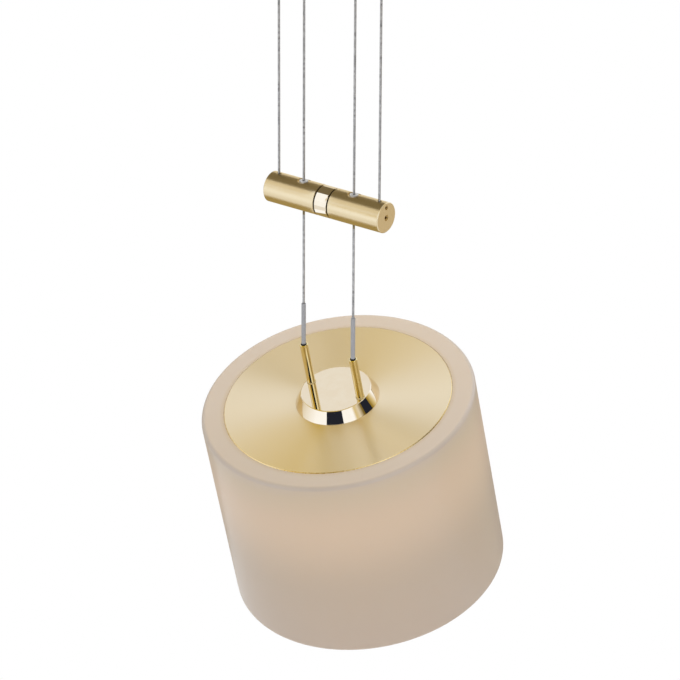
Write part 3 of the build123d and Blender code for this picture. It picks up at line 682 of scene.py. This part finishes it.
# %% Group of turning marks
turning, turning_in = noise_group("turning_marks", "Lines per metre", 2500.0)
turning_split = turning.nodes.new("ShaderNodeSeparateXYZ")
turning_radius = from_axis(turning, turning_split)
turning_scaled = place_node(turning, "ShaderNodeMath", operation="MULTIPLY")
turning_noise = place_node(
    turning, "ShaderNodeTexNoise", {"Scale": 1.0, "Detail": 3.0}, noise_dimensions="1D"
)
wire(
    turning, (turning_in, "Vector", turning_split, 0), (turning_radius, "Value", turning_scaled, 0),
    (turning_in, "Lines per metre", turning_scaled, 1), (turning_scaled, 0, turning_noise, "W"),
)
put_out(turning, turning_in, turning_noise)
print("group", turning.name)

# %% [markdown]
# Most finishes here need the same three things: a colour that drifts a little, a roughness that is not
# even, and a shallow relief. One helper wires them from the speckle group, with a tone for the low spots
# and one for the high spots, and each finish below gives its own colours, scale and depth.

# %% Speckled finish
def speckled_finish(name, dark, light, roughness, scale, relief, metallic):
    """Material with drifting colour, uneven roughness and shallow relief."""
    material, tree, shader = finish(name)
    limits = {"Scale": scale, "Least": roughness[0], "Most": roughness[1]}
    marks = use_group(tree, speckle, object_place(tree), limits)
    add_relief(tree, shader, marks, 0.4, relief)
    ramp = place_ramp(tree, [(0.35, dark), (0.65, light)])
    wire(tree, (marks, "Height", ramp, "Fac"), (ramp, "Color", shader, "Base Color"))
    fill_inputs(shader, {"Metallic": metallic})
    return material


finishes = {}


def add_finishes(rows, metallic):
    """Finishes from rows of low tone, high tone, least and greatest roughness, scale of the grain, relief."""
    for name, (dark, light, *rest) in rows.items():
        finishes[name] = speckled_finish(name, screen_colour(*dark), screen_colour(*light), *rest, metallic)


# %% [markdown]
# Brass comes in two plain finishes here. The bar and the canopy are satin: blasted fine, so that a
# reflection keeps its place but loses its edge. The boss and the ring are polished and then lacquered, with
# only a trace of unevenness left. Three more are for single pieces: a yellower one for the pins, one cut
# with a sharp tool for the edge of the plate, and a duller one for the screws in the bar.

# %% Brass finishes
brass = {
    "satin_brass": ((222, 204, 166), (230, 214, 180), (0.27, 0.33), 2600, 0.00001),
    "polished_brass": ((230, 216, 192), (232, 220, 198), (0.02, 0.05), 120, 0.000001),
    "pin_brass": ((231, 216, 168), (235, 221, 176), (0.02, 0.05), 120, 0.000001),
    "cut_brass": ((228, 204, 150), (236, 215, 166), (0.24, 0.32), 900, 0.000005),
    "screw_brass": ((196, 172, 122), (206, 184, 136), (0.22, 0.34), 500, 0.00001),
}
add_finishes(brass, metallic=1.0)
print("brass finishes", list(finishes))

# %% [markdown]
# The plate is faced on a lathe. Its marks are finer than the picture can show, so they are mostly felt
# through the gloss: it is stretched across the marks, in the direction that the plate's own map gives, and
# the marks add a slight change of tone and depth.

# %% Turned brass
turned_dark = screen_colour(237, 221, 190)
turned_light = screen_colour(242, 228, 200)


def turned_brass():
    """Lathe-turned brass: rings about the head's axis, and a gloss that spreads across them."""
    material, tree, shader = finish("turned_brass")
    limits = {"Lines per metre": 6000.0, "Least": 0.33, "Most": 0.38}
    marks = use_group(tree, turning, head_coordinates(tree), limits)
    add_relief(tree, shader, marks, 0.08, 0.00001)
    tone = place_node(tree, "ShaderNodeMix", {"A": turned_dark, "B": turned_light}, data_type="RGBA")
    tangent = place_node(tree, "ShaderNodeTangent", direction_type="UV_MAP", uv_map="turning")
    wire(
        tree, (marks, "Height", tone, "Factor"), (tone, "Result", shader, "Base Color"),
        (tangent, "Tangent", shader, "Tangent"),
    )
    fill_inputs(shader, {"Metallic": 1.0, "Anisotropic": 1.0})
    return material


finishes["turned_brass"] = turned_brass()

# %% [markdown]
# Opal glass is white glass under a thin clear layer, with the outside etched to satin. Light enters a
# little way and comes back softened, which subsurface scattering gives. The colour drifts in bands from the
# foot to the top that also hold painted light and shade, the shoulder has a painted grey shade, the rim along
# the plate a painted shade in a brass tint, and a faint warm glow is painted on the glass where the lamp is
# inside.

# %% Opal glass
glass_foot, glass_top = levels("glass_shade")
opening_radius, shade_radius = radii("glass_shade")
# Painted light and shade: the bands hold the glass's own colour together with the light falling down the wall.
glass_tone_and_shading = [
    (0.00, screen_colour(214, 195, 177)), (0.45, screen_colour(214, 194, 172)),
    (0.80, screen_colour(218, 197, 173)), (0.93, screen_colour(217, 199, 174)),
    (1.00, screen_colour(214, 198, 180)),
]
# Painted shade and brass reflection on the rim of the glass, along the plate.
rim_shade_tint = screen_colour(210, 190, 164)
rim_shade_reach = 0.0030
rim_start, _ = radii("glass_shade", glass_top)
# Painted shade: a greyer line on the outer shoulder of the glass.
shoulder_painted_shade = screen_colour(203, 190, 178)
shoulder_shade_reach = 0.0032
shoulder_shade_core = 0.0013
# Painted glow: the glass itself shines where the lamp's light would come through it.
painted_glow_colour = screen_colour(255, 208, 164)
painted_glow_level = -0.078
painted_glow_reach = 0.055
painted_glow_strength = 0.10


def opal_glass():
    """Satin opal glass: light goes a little way in and comes out again, with painted shade at the shoulder and the
    rim, and a painted glow from inside.
    """
    material, tree, shader = finish("opal_glass")
    place = head_coordinates(tree)
    marks = use_group(tree, speckle, place, {"Scale": 900.0, "Least": 0.40, "Most": 0.48})
    wire(tree, (marks, "Value", shader, "Roughness"))
    split = tree.nodes.new("ShaderNodeSeparateXYZ")
    tree.links.new(place, split.inputs[0])

    # Bands of colour from the foot to the top, the glass's own colour with painted light and shade down the wall,
    # a little uneven as in blown glass.
    cloud = place_node(tree, "ShaderNodeTexNoise", {"Scale": 14.0, "Detail": 2.0})
    drift = place_node(tree, "ShaderNodeMapRange", {"To Min": -0.04, "To Max": 0.04})
    height = place_node(tree, "ShaderNodeMapRange", {"From Min": glass_foot, "From Max": glass_top})
    uneven = place_node(tree, "ShaderNodeMath", operation="ADD")
    tone_and_shading_bands = place_ramp(tree, glass_tone_and_shading)
    tree.links.new(place, cloud.inputs["Vector"])
    wire(
        tree, (cloud, "Fac", drift, "Value"), (split, "Z", height, "Value"), (height, "Result", uneven, 0),
        (drift, "Result", uneven, 1), (uneven, 0, tone_and_shading_bands, "Fac"),
    )

    # Painted shade: the shoulder is turned greyer, in place of the darker line that light bending through the
    # clear outer layer shows at its rounding.
    radius = from_axis(tree, split)
    inward = place_node(tree, "ShaderNodeMath", {1: shade_radius}, operation="SUBTRACT")
    below = place_node(tree, "ShaderNodeMath", {1: glass_top}, operation="SUBTRACT")
    corner = tree.nodes.new("ShaderNodeCombineXYZ")
    apart = place_node(tree, "ShaderNodeVectorMath", operation="LENGTH")
    shoulder_shade = ease(tree, shoulder_shade_reach, shoulder_shade_core)
    tone = place_node(tree, "ShaderNodeMix", {"B": shoulder_painted_shade}, data_type="RGBA")
    wire(
        tree, (radius, "Value", inward, 0), (split, "Z", below, 0), (inward, 0, corner, "X"),
        (below, 0, corner, "Y"), (corner, 0, apart, 0), (apart, "Value", shoulder_shade, "Value"),
        (shoulder_shade, "Result", tone, "Factor"), (tone_and_shading_bands, "Color", tone, "A"),
    )

    # Painted shade and brass reflection: the rim of the glass along the plate is darkened to a brass-coloured
    # tint.
    rim_shade = ease(tree, rim_start + rim_shade_reach, rim_start)
    rim_shade_mix = place_node(tree, "ShaderNodeMix", {"B": rim_shade_tint}, data_type="RGBA")
    wire(
        tree, (radius, "Value", rim_shade, "Value"), (rim_shade, "Result", rim_shade_mix, "Factor"),
        (tone, "Result", rim_shade_mix, "A"), (rim_shade_mix, "Result", shader, "Base Color"),
    )

    # Painted glow: the glass itself shines, strongest level with the lamp inside, in place of the lamp's light
    # coming through it.
    away = place_node(tree, "ShaderNodeMath", {1: painted_glow_level}, operation="SUBTRACT")
    distance = place_node(tree, "ShaderNodeMath", operation="ABSOLUTE")
    glow = ease(tree, painted_glow_reach, 0.0)
    painted_glow_tone = place_node(tree, "ShaderNodeMix", {"A": (0, 0, 0, 1), "B": painted_glow_colour}, data_type="RGBA")
    wire(
        tree, (split, "Z", away, 0), (away, 0, distance, 0), (distance, 0, glow, "Value"),
        (glow, "Result", painted_glow_tone, "Factor"), (painted_glow_tone, "Result", shader, "Emission Color"),
    )
    fill_inputs(shader, {
        "Emission Strength": painted_glow_strength, "IOR": 1.5, "Coat Weight": 0.38, "Coat Roughness": 0.2,
        "Subsurface Weight": 0.7, "Subsurface Radius": (1.0, 0.95, 0.9), "Subsurface Scale": 0.003,
    })
    return material


finishes["opal_glass"] = opal_glass()

# %% [markdown]
# The other metals are plainer: drawn steel wire in the ropes, a little uneven in tone from wear,
# zinc-plated steel for the hidden ironwork, a cast aluminium heat sink, and black beads crimped on the ends
# of the ropes. The nickel on the ferrules that guide the ropes into the bar is dulled by a film, so it
# counts as metal only in part.

# %% Steel, nickel and aluminium
metals = {
    "rope_steel": ((142, 142, 144), (192, 192, 195), (0.25, 0.40), 420, 0.00002),
    "plated_steel": ((178, 181, 184), (196, 197, 192), (0.28, 0.42), 300, 0.00001),
    "cast_aluminium": ((190, 192, 194), (205, 206, 208), (0.38, 0.52), 900, 0.00003),
    "bead_black": ((56, 54, 50), (72, 69, 64), (0.35, 0.50), 700, 0.00001),
}
add_finishes(metals, metallic=1.0)
nickel = {"ferrule_nickel": ((206, 208, 215), (218, 220, 226), (0.36, 0.46), 700, 0.000005)}
add_finishes(nickel, metallic=0.45)
print("metals", len(finishes))

# %% [markdown]
# Plastics, rubber and the lamp's board differ by colour, gloss and grain, so they are rows of the same
# kind. The diffuser is lit softly from inside.

# %% Plastics, rubber and board
plastics = {
    "sleeve_grey": ((168, 170, 175), (178, 180, 186), (0.38, 0.50), 800, 0.00002),
    "collar_honey": ((205, 184, 132), (216, 197, 148), (0.22, 0.32), 500, 0.00001),
    "dark_insulator": ((34, 28, 22), (48, 40, 30), (0.45, 0.60), 900, 0.00002),
    "nylon": ((222, 216, 202), (232, 226, 214), (0.40, 0.52), 500, 0.00002),
    "driver_white": ((224, 224, 221), (234, 234, 232), (0.50, 0.62), 1400, 0.00002),
    "silicone": ((200, 198, 190), (212, 210, 203), (0.45, 0.60), 400, 0.00002),
    "board_white": ((232, 232, 226), (242, 242, 238), (0.35, 0.45), 300, 0.00002),
    "phosphor": ((226, 190, 60), (240, 206, 84), (0.50, 0.65), 1200, 0.00002),
    "diffuser_opal": ((236, 233, 226), (244, 242, 236), (0.42, 0.52), 200, 0.00002),
    "wire_jacket": ((150, 40, 34), (166, 48, 40), (0.38, 0.50), 700, 0.00002),
}
add_finishes(plastics, metallic=0.0)
lit = finishes["diffuser_opal"].node_tree.nodes["Principled BSDF"]
fill_inputs(lit, {"Emission Color": screen_colour(255, 226, 190), "Emission Strength": 0.5})
print("finishes", len(finishes))

# %% [markdown]
# Every piece of the frame names a slot of the record, so its finish is found by that name. A few pieces
# look a little different from the rest of their slot: the pins, the screws in the bar and the ends of the
# ropes.

# %% Dress the frame


def dress(piece, slot):
    piece.data.materials.clear()
    piece.data.materials.append(finishes[slot])


for part in frame["record"]["subparts"]:
    dress(nodes[part["node"]], part["material_slot"])
special = {
    "pin_left": "pin_brass", "pin_right": "pin_brass", "rope_clamp_screws": "screw_brass",
    "brake_screws": "screw_brass", "rope_end_beads": "bead_black",
}
for node, slot in special.items():
    dress(nodes[node], slot)
for rope in rope_pieces:
    dress(rope, "rope_steel")
print("dressed", len(nodes), "frame pieces")

# %% [markdown]
# The plate, the boss and the glass are round about the head's axis, as they come from a lathe or a mould.
# Each starts as a circle; the ring is extruded and resized from corner to corner of its outline, and the
# last ring is bridged to the first. A bevel on chosen rings then rounds the corners.

# %% Helpers for turned pieces
ring_points = 320
smooth_limit = radians(40)
same_place = 1e-5


def select_only(pieces):
    """Select pieces alone, the first as the active one."""
    bpy.ops.object.select_all(action="DESELECT")
    for piece in pieces:
        piece.select_set(True)
    bpy.context.view_layer.objects.active = pieces[0]


def turned_piece(name, corners, steps, closed=True, points=ring_points):
    """Piece turned about Z from (radius, level, rounding) corners: a closed ring, or one with filled ends."""
    radius, height, _ = corners[0]
    bpy.ops.mesh.primitive_circle_add(vertices=points, radius=radius, location=(0, 0, height))
    piece = bpy.context.object
    piece.name = name
    bpy.ops.object.transform_apply(location=True, rotation=True, scale=True)
    bpy.ops.object.mode_set(mode="EDIT")
    bpy.ops.mesh.select_all(action="SELECT")
    for (r0, z0, _), (r1, z1, _) in zip(corners, corners[1:]):
        bpy.ops.mesh.extrude_region_move(TRANSFORM_OT_translate={"value": (0, 0, z1 - z0)})
        bpy.ops.transform.resize(value=(r1 / r0, r1 / r0, 1), center_override=(0, 0, 0))
    bpy.ops.mesh.select_all(action="DESELECT")
    bpy.ops.mesh.select_non_manifold()
    if closed:
        bpy.ops.mesh.bridge_edge_loops()
    else:
        bpy.ops.mesh.fill_holes(sides=0)
    bpy.ops.mesh.select_all(action="SELECT")
    bpy.ops.mesh.normals_make_consistent(inside=False)
    bpy.ops.object.mode_set(mode="OBJECT")
    for radius, height, rounding in corners:
        if rounding:
            round_ring(piece, (radius, height), rounding, steps)
    smooth_piece(piece)
    return piece


def choose(piece, kind, wanted):
    """Go on editing a piece with the edges or faces selected that a test picks."""
    bpy.ops.object.mode_set(mode="EDIT")
    bpy.ops.mesh.select_mode(type=kind)
    bpy.ops.mesh.select_all(action="DESELECT")
    bpy.ops.object.mode_set(mode="OBJECT")
    for item in piece.data.edges if kind == "EDGE" else piece.data.polygons:
        item.select = wanted(item)
    bpy.ops.object.mode_set(mode="EDIT")


def round_ring(piece, corner, radius, steps):
    """Round one corner ring of a turned piece."""
    select_only([piece])
    points = [v.co for v in piece.data.vertices]
    near = [abs(hypot(p.x, p.y) - corner[0]) + abs(p.z - corner[1]) < same_place for p in points]
    choose(piece, "EDGE", lambda edge: all(near[i] for i in edge.vertices))
    bpy.ops.mesh.bevel(offset=radius, segments=steps, affect="EDGES", clamp_overlap=False)
    bpy.ops.object.mode_set(mode="OBJECT")


def smooth_piece(piece):
    """Smooth shading that keeps flat faces flat."""
    select_only([piece])
    bpy.ops.object.shade_smooth_by_angle(angle=smooth_limit)
    weigh = piece.modifiers.new("flat_faces", "WEIGHTED_NORMAL")
    weigh.keep_sharp = True
    bpy.ops.object.modifier_apply(modifier=weigh.name)


def stand_for(piece, node, body, look):
    """Let a finished piece ride on a body in place of its frame piece."""
    dress(piece, look)
    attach(piece, body)
    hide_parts(node)


def swing_into_place(piece, node, look):
    """Swing a finished head piece into its place."""
    piece.data.transform(head_place)
    stand_for(piece, node, "lamp_head", look)


def join_pieces(name, pieces):
    """Make one piece of several that are alike."""
    select_only(pieces)
    bpy.ops.object.join()
    pieces[0].name = name
    return pieces[0]


def copy_piece(piece, name):
    """Copy of a piece with a mesh of its own."""
    twin = piece.copy()
    twin.data = piece.data.copy()
    twin.name = name
    scene.collection.objects.link(twin)
    return twin


# %% [markdown]
# The shade is a thick-walled glass cylinder, drawn in at the top to a flat lip with a shallow step that the
# brass plate lies in. Its outer shoulder is small and soft and its foot is fire-polished round. The corners
# are measured on the frame, and each is rounded by its own radius.

# %% Glass shade
shade_wall = 0.0045
lip_thickness = 0.005
rebate_depth = 0.0014
lip_top = glass_top - rebate_depth
lip_under = lip_top - lip_thickness
inner_radius = shade_radius - shade_wall
rebate_edge = 0.0004
rebate_radius = rim_start - rebate_edge
# Radius, level, rounding.
glass_corners = [
    (opening_radius, lip_top, 0.0010), (rebate_radius, lip_top, 0), (rebate_radius, glass_top, rebate_edge),
    (shade_radius, glass_top, 0.0030), (shade_radius, glass_foot, 0.0020), (inner_radius, glass_foot, 0.0020),
    (inner_radius, lip_under, 0.0070), (opening_radius, lip_under, 0.0010),
]
glass = turned_piece("opal_shade", glass_corners, steps=8)
swing_into_place(glass, "glass_shade", "opal_glass")
print("glass shade", len(glass.data.polygons), "faces, radius", round(shade_radius, 4))

# %% [markdown]
# The plate was faced on a lathe, so its gloss spreads across the turning marks, away from the axis. The
# shader needs to know that direction at every point: a UV map whose first axis grows with the radius gives
# it. The outer edge is cut at half a right angle with a sharp tool, which leaves it brighter than the face.

# %% Turned plate
plate_under, plate_top = levels("top_plate")
plate_hole, plate_radius = radii("top_plate")
plate_edge = 0.0005
plate_corners = [
    (plate_hole, plate_top, 0), (plate_radius / 3, plate_top, 0), (plate_radius * 2 / 3, plate_top, 0),
    (plate_radius, plate_top, plate_edge), (plate_radius, plate_under, 0), (plate_hole, plate_under, 0),
]
plate = turned_piece("turned_plate", plate_corners, steps=1)
turning_map = plate.data.uv_layers.new(name="turning")
for face in plate.data.polygons:
    middle = atan2(face.center.y, face.center.x)
    for corner in face.loop_indices:
        place = plate.data.vertices[plate.data.loops[corner].vertex_index].co
        off = (atan2(place.y, place.x) - middle + pi) % (2 * pi) - pi
        turning_map.data[corner].uv = (hypot(place.x, place.y) / plate_radius, (middle + off) / (2 * pi))
least_slope, greatest_slope = 0.3, 0.9
cut_faces = [f.index for f in plate.data.polygons if least_slope < f.normal.z < greatest_slope]
swing_into_place(plate, "top_plate", "turned_brass")
plate.data.materials.append(finishes["cut_brass"])
for index in cut_faces:
    plate.data.polygons[index].material_index = 1
print("plate", len(plate.data.polygons), "faces, radius", round(plate_radius, 4))

# %% [markdown]
# The boss is a polished cone with its point cut off. Its edges are barely broken, so the mirror of the top
# and the mirror of the flank meet in one thin line of light.

# %% Boss
boss_under, boss_top = levels("boss")
boss_base = radii("boss", boss_under)[1]
boss_flat = radii("boss", boss_top)[1]
boss_seat = 0.0004
boss_edge = 0.0005
boss_corners = [
    (boss_flat, boss_top, boss_edge), (boss_base, boss_under + boss_seat, 0), (boss_base, boss_under, 0),
]
boss = turned_piece("polished_boss", boss_corners, steps=3, closed=False)
swing_into_place(boss, "boss", "polished_brass")
print("boss", len(boss.data.polygons), "faces")

# %% [markdown]
# Each pin stands on a thin collar that keeps it apart from the boss, because the ropes carry the current.
# The collar is a small moulded ring, barely wider than the pin. One is turned and the other is its copy.

# %% Pin collars
small_ring_points = 64
pin_radius = (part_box("pin_right")[1].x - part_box("pin_right")[0].x) / 2
collar_top = levels("pin_collars")[1]
collar_bore = 0.0015
collar_margin = 0.0003
collar_radius = pin_radius + collar_margin
collar_edge = 0.00015
collar_corners = [
    (collar_bore, boss_top, 0), (collar_radius, boss_top, 0),
    (collar_radius, collar_top, collar_edge), (collar_bore, collar_top, 0),
]
collar = turned_piece("collar_right", collar_corners, steps=3, points=small_ring_points)
collar_twin = copy_piece(collar, "collar_left")
collar.data.transform(Matrix.Translation((inner_x, 0, 0)))
collar_twin.data.transform(Matrix.Translation((-inner_x, 0, 0)))
collars = join_pieces("moulded_collars", [collar, collar_twin])
swing_into_place(collars, "pin_collars", "collar_honey")
print("collars", len(collars.data.polygons), "faces, radius", round(collar_radius, 5))

# %% [markdown]
# A grey sleeve is pushed over the lower end of each rope and keeps it from fraying where it enters the pin.
# It is a length of soft tube, cut square, with its cut edges rounded by handling and its mouth a little
# wider than the rope. It hangs upright with the rope while the pin below swings.

# %% Rope sleeves
sleeve_mouth = 0.00025
sleeve_mouth_depth = 0.0008
sleeve_edge = 0.00025
sleeve_play = 0.00003
sleeve_bore = rope_diameter / 2 + sleeve_play
for word, side in sides.items():
    sleeve_low, sleeve_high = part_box(f"rope_sleeve_{word}")
    sleeve_radius = (sleeve_high.x - sleeve_low.x) / 2
    sleeve_corners = [
        (sleeve_bore, sleeve_low.z, 0), (sleeve_radius, sleeve_low.z, sleeve_edge),
        (sleeve_radius, sleeve_high.z, sleeve_edge), (sleeve_bore + sleeve_mouth, sleeve_high.z, 0),
        (sleeve_bore, sleeve_high.z - sleeve_mouth_depth, 0),
    ]
    sleeve = turned_piece(f"soft_sleeve_{word}", sleeve_corners, steps=3, points=small_ring_points)
    sleeve.data.transform(Matrix.Translation((side * inner_x, 0, 0)))
    stand_for(sleeve, f"rope_sleeve_{word}", "rope_hanger", "sleeve_grey")
    print(word, "sleeve", len(sleeve.data.polygons), "faces, radius", round(sleeve_radius, 5))

# %% [markdown]
# Two screws with knurled heads hold the canopy, so that it comes off without a tool. The head is a short
# cylinder with a broken edge and a dished end; every other face of its side is inset and pushed in, which
# gives the ridges that fingers grip. The shank is drawn out of the inner end.

# %% Thumb screws
screw_points = [v.co for v in nodes["thumb_screws"].data.vertices]
screw_low, screw_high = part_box("thumb_screws")
canopy_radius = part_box("canopy_cover")[1].y
screw_tip = min(abs(p.x) for p in screw_points)
screw_level = (screw_low.z + screw_high.z) / 2
head_radius = (screw_high.z - screw_low.z) / 2
head_length = screw_high.x - canopy_radius
shank_radius = max(
    hypot(p.y, p.z - screw_level) for p in screw_points if abs(p.x) < canopy_radius - head_length / 2
)
head_ridges = 30
head_edge = 0.0006
end_rim = 0.0012
dish_slope = 0.0006
dish_depth = 0.0005
groove_margin = 0.0001
groove_depth = 0.0003
bpy.ops.mesh.primitive_cylinder_add(
    vertices=2 * head_ridges, radius=head_radius, depth=head_length,
    location=(0, 0, screw_high.x - head_length / 2),
)
screw = bpy.context.object
bpy.ops.object.transform_apply(location=True, rotation=True, scale=True)
choose(screw, "FACE", lambda face: face.normal.z < -0.9)
bpy.ops.mesh.inset(thickness=head_radius - shank_radius)
bpy.ops.mesh.extrude_region_move(TRANSFORM_OT_translate={"value": (0, 0, screw_tip - canopy_radius)})
choose(screw, "FACE", lambda face: face.normal.z > 0.9)
bpy.ops.mesh.inset(thickness=end_rim)
bpy.ops.mesh.inset(thickness=dish_slope)
bpy.ops.transform.translate(value=(0, 0, -dish_depth))
bpy.ops.object.mode_set(mode="OBJECT")
round_ring(screw, (head_radius, screw_high.x), head_edge, steps=2)


def is_groove(face):
    """Every other flat face on the side of the head."""
    out = hypot(face.center.x, face.center.y)
    share = atan2(face.center.y, face.center.x) / (2 * pi) * 2 * head_ridges
    return abs(face.normal.z) < 0.1 and out > 0.9 * head_radius and int(share + 2 * head_ridges) % 2 == 0


choose(screw, "FACE", is_groove)
bpy.ops.mesh.inset(thickness=groove_margin, use_individual=True)
bpy.ops.transform.shrink_fatten(value=-groove_depth)
bpy.ops.object.mode_set(mode="OBJECT")
smooth_piece(screw)
screw_twin = copy_piece(screw, "thumb_screw_left")
lay_along_x = Matrix.Translation((0, 0, screw_level)) @ Matrix.Rotation(pi / 2, 4, "Y")
screw.data.transform(lay_along_x)
screw_twin.data.transform(Matrix.Rotation(pi, 4, "Z") @ lay_along_x)
screws = join_pieces("knurled_screws", [screw, screw_twin])
stand_for(screws, "thumb_screws", "ceiling_mount", "satin_brass")
screw_reach = max(v.co.x for v in screws.data.vertices)
print("thumb screws", len(screws.data.polygons), "faces, out to", round(screw_reach, 5))
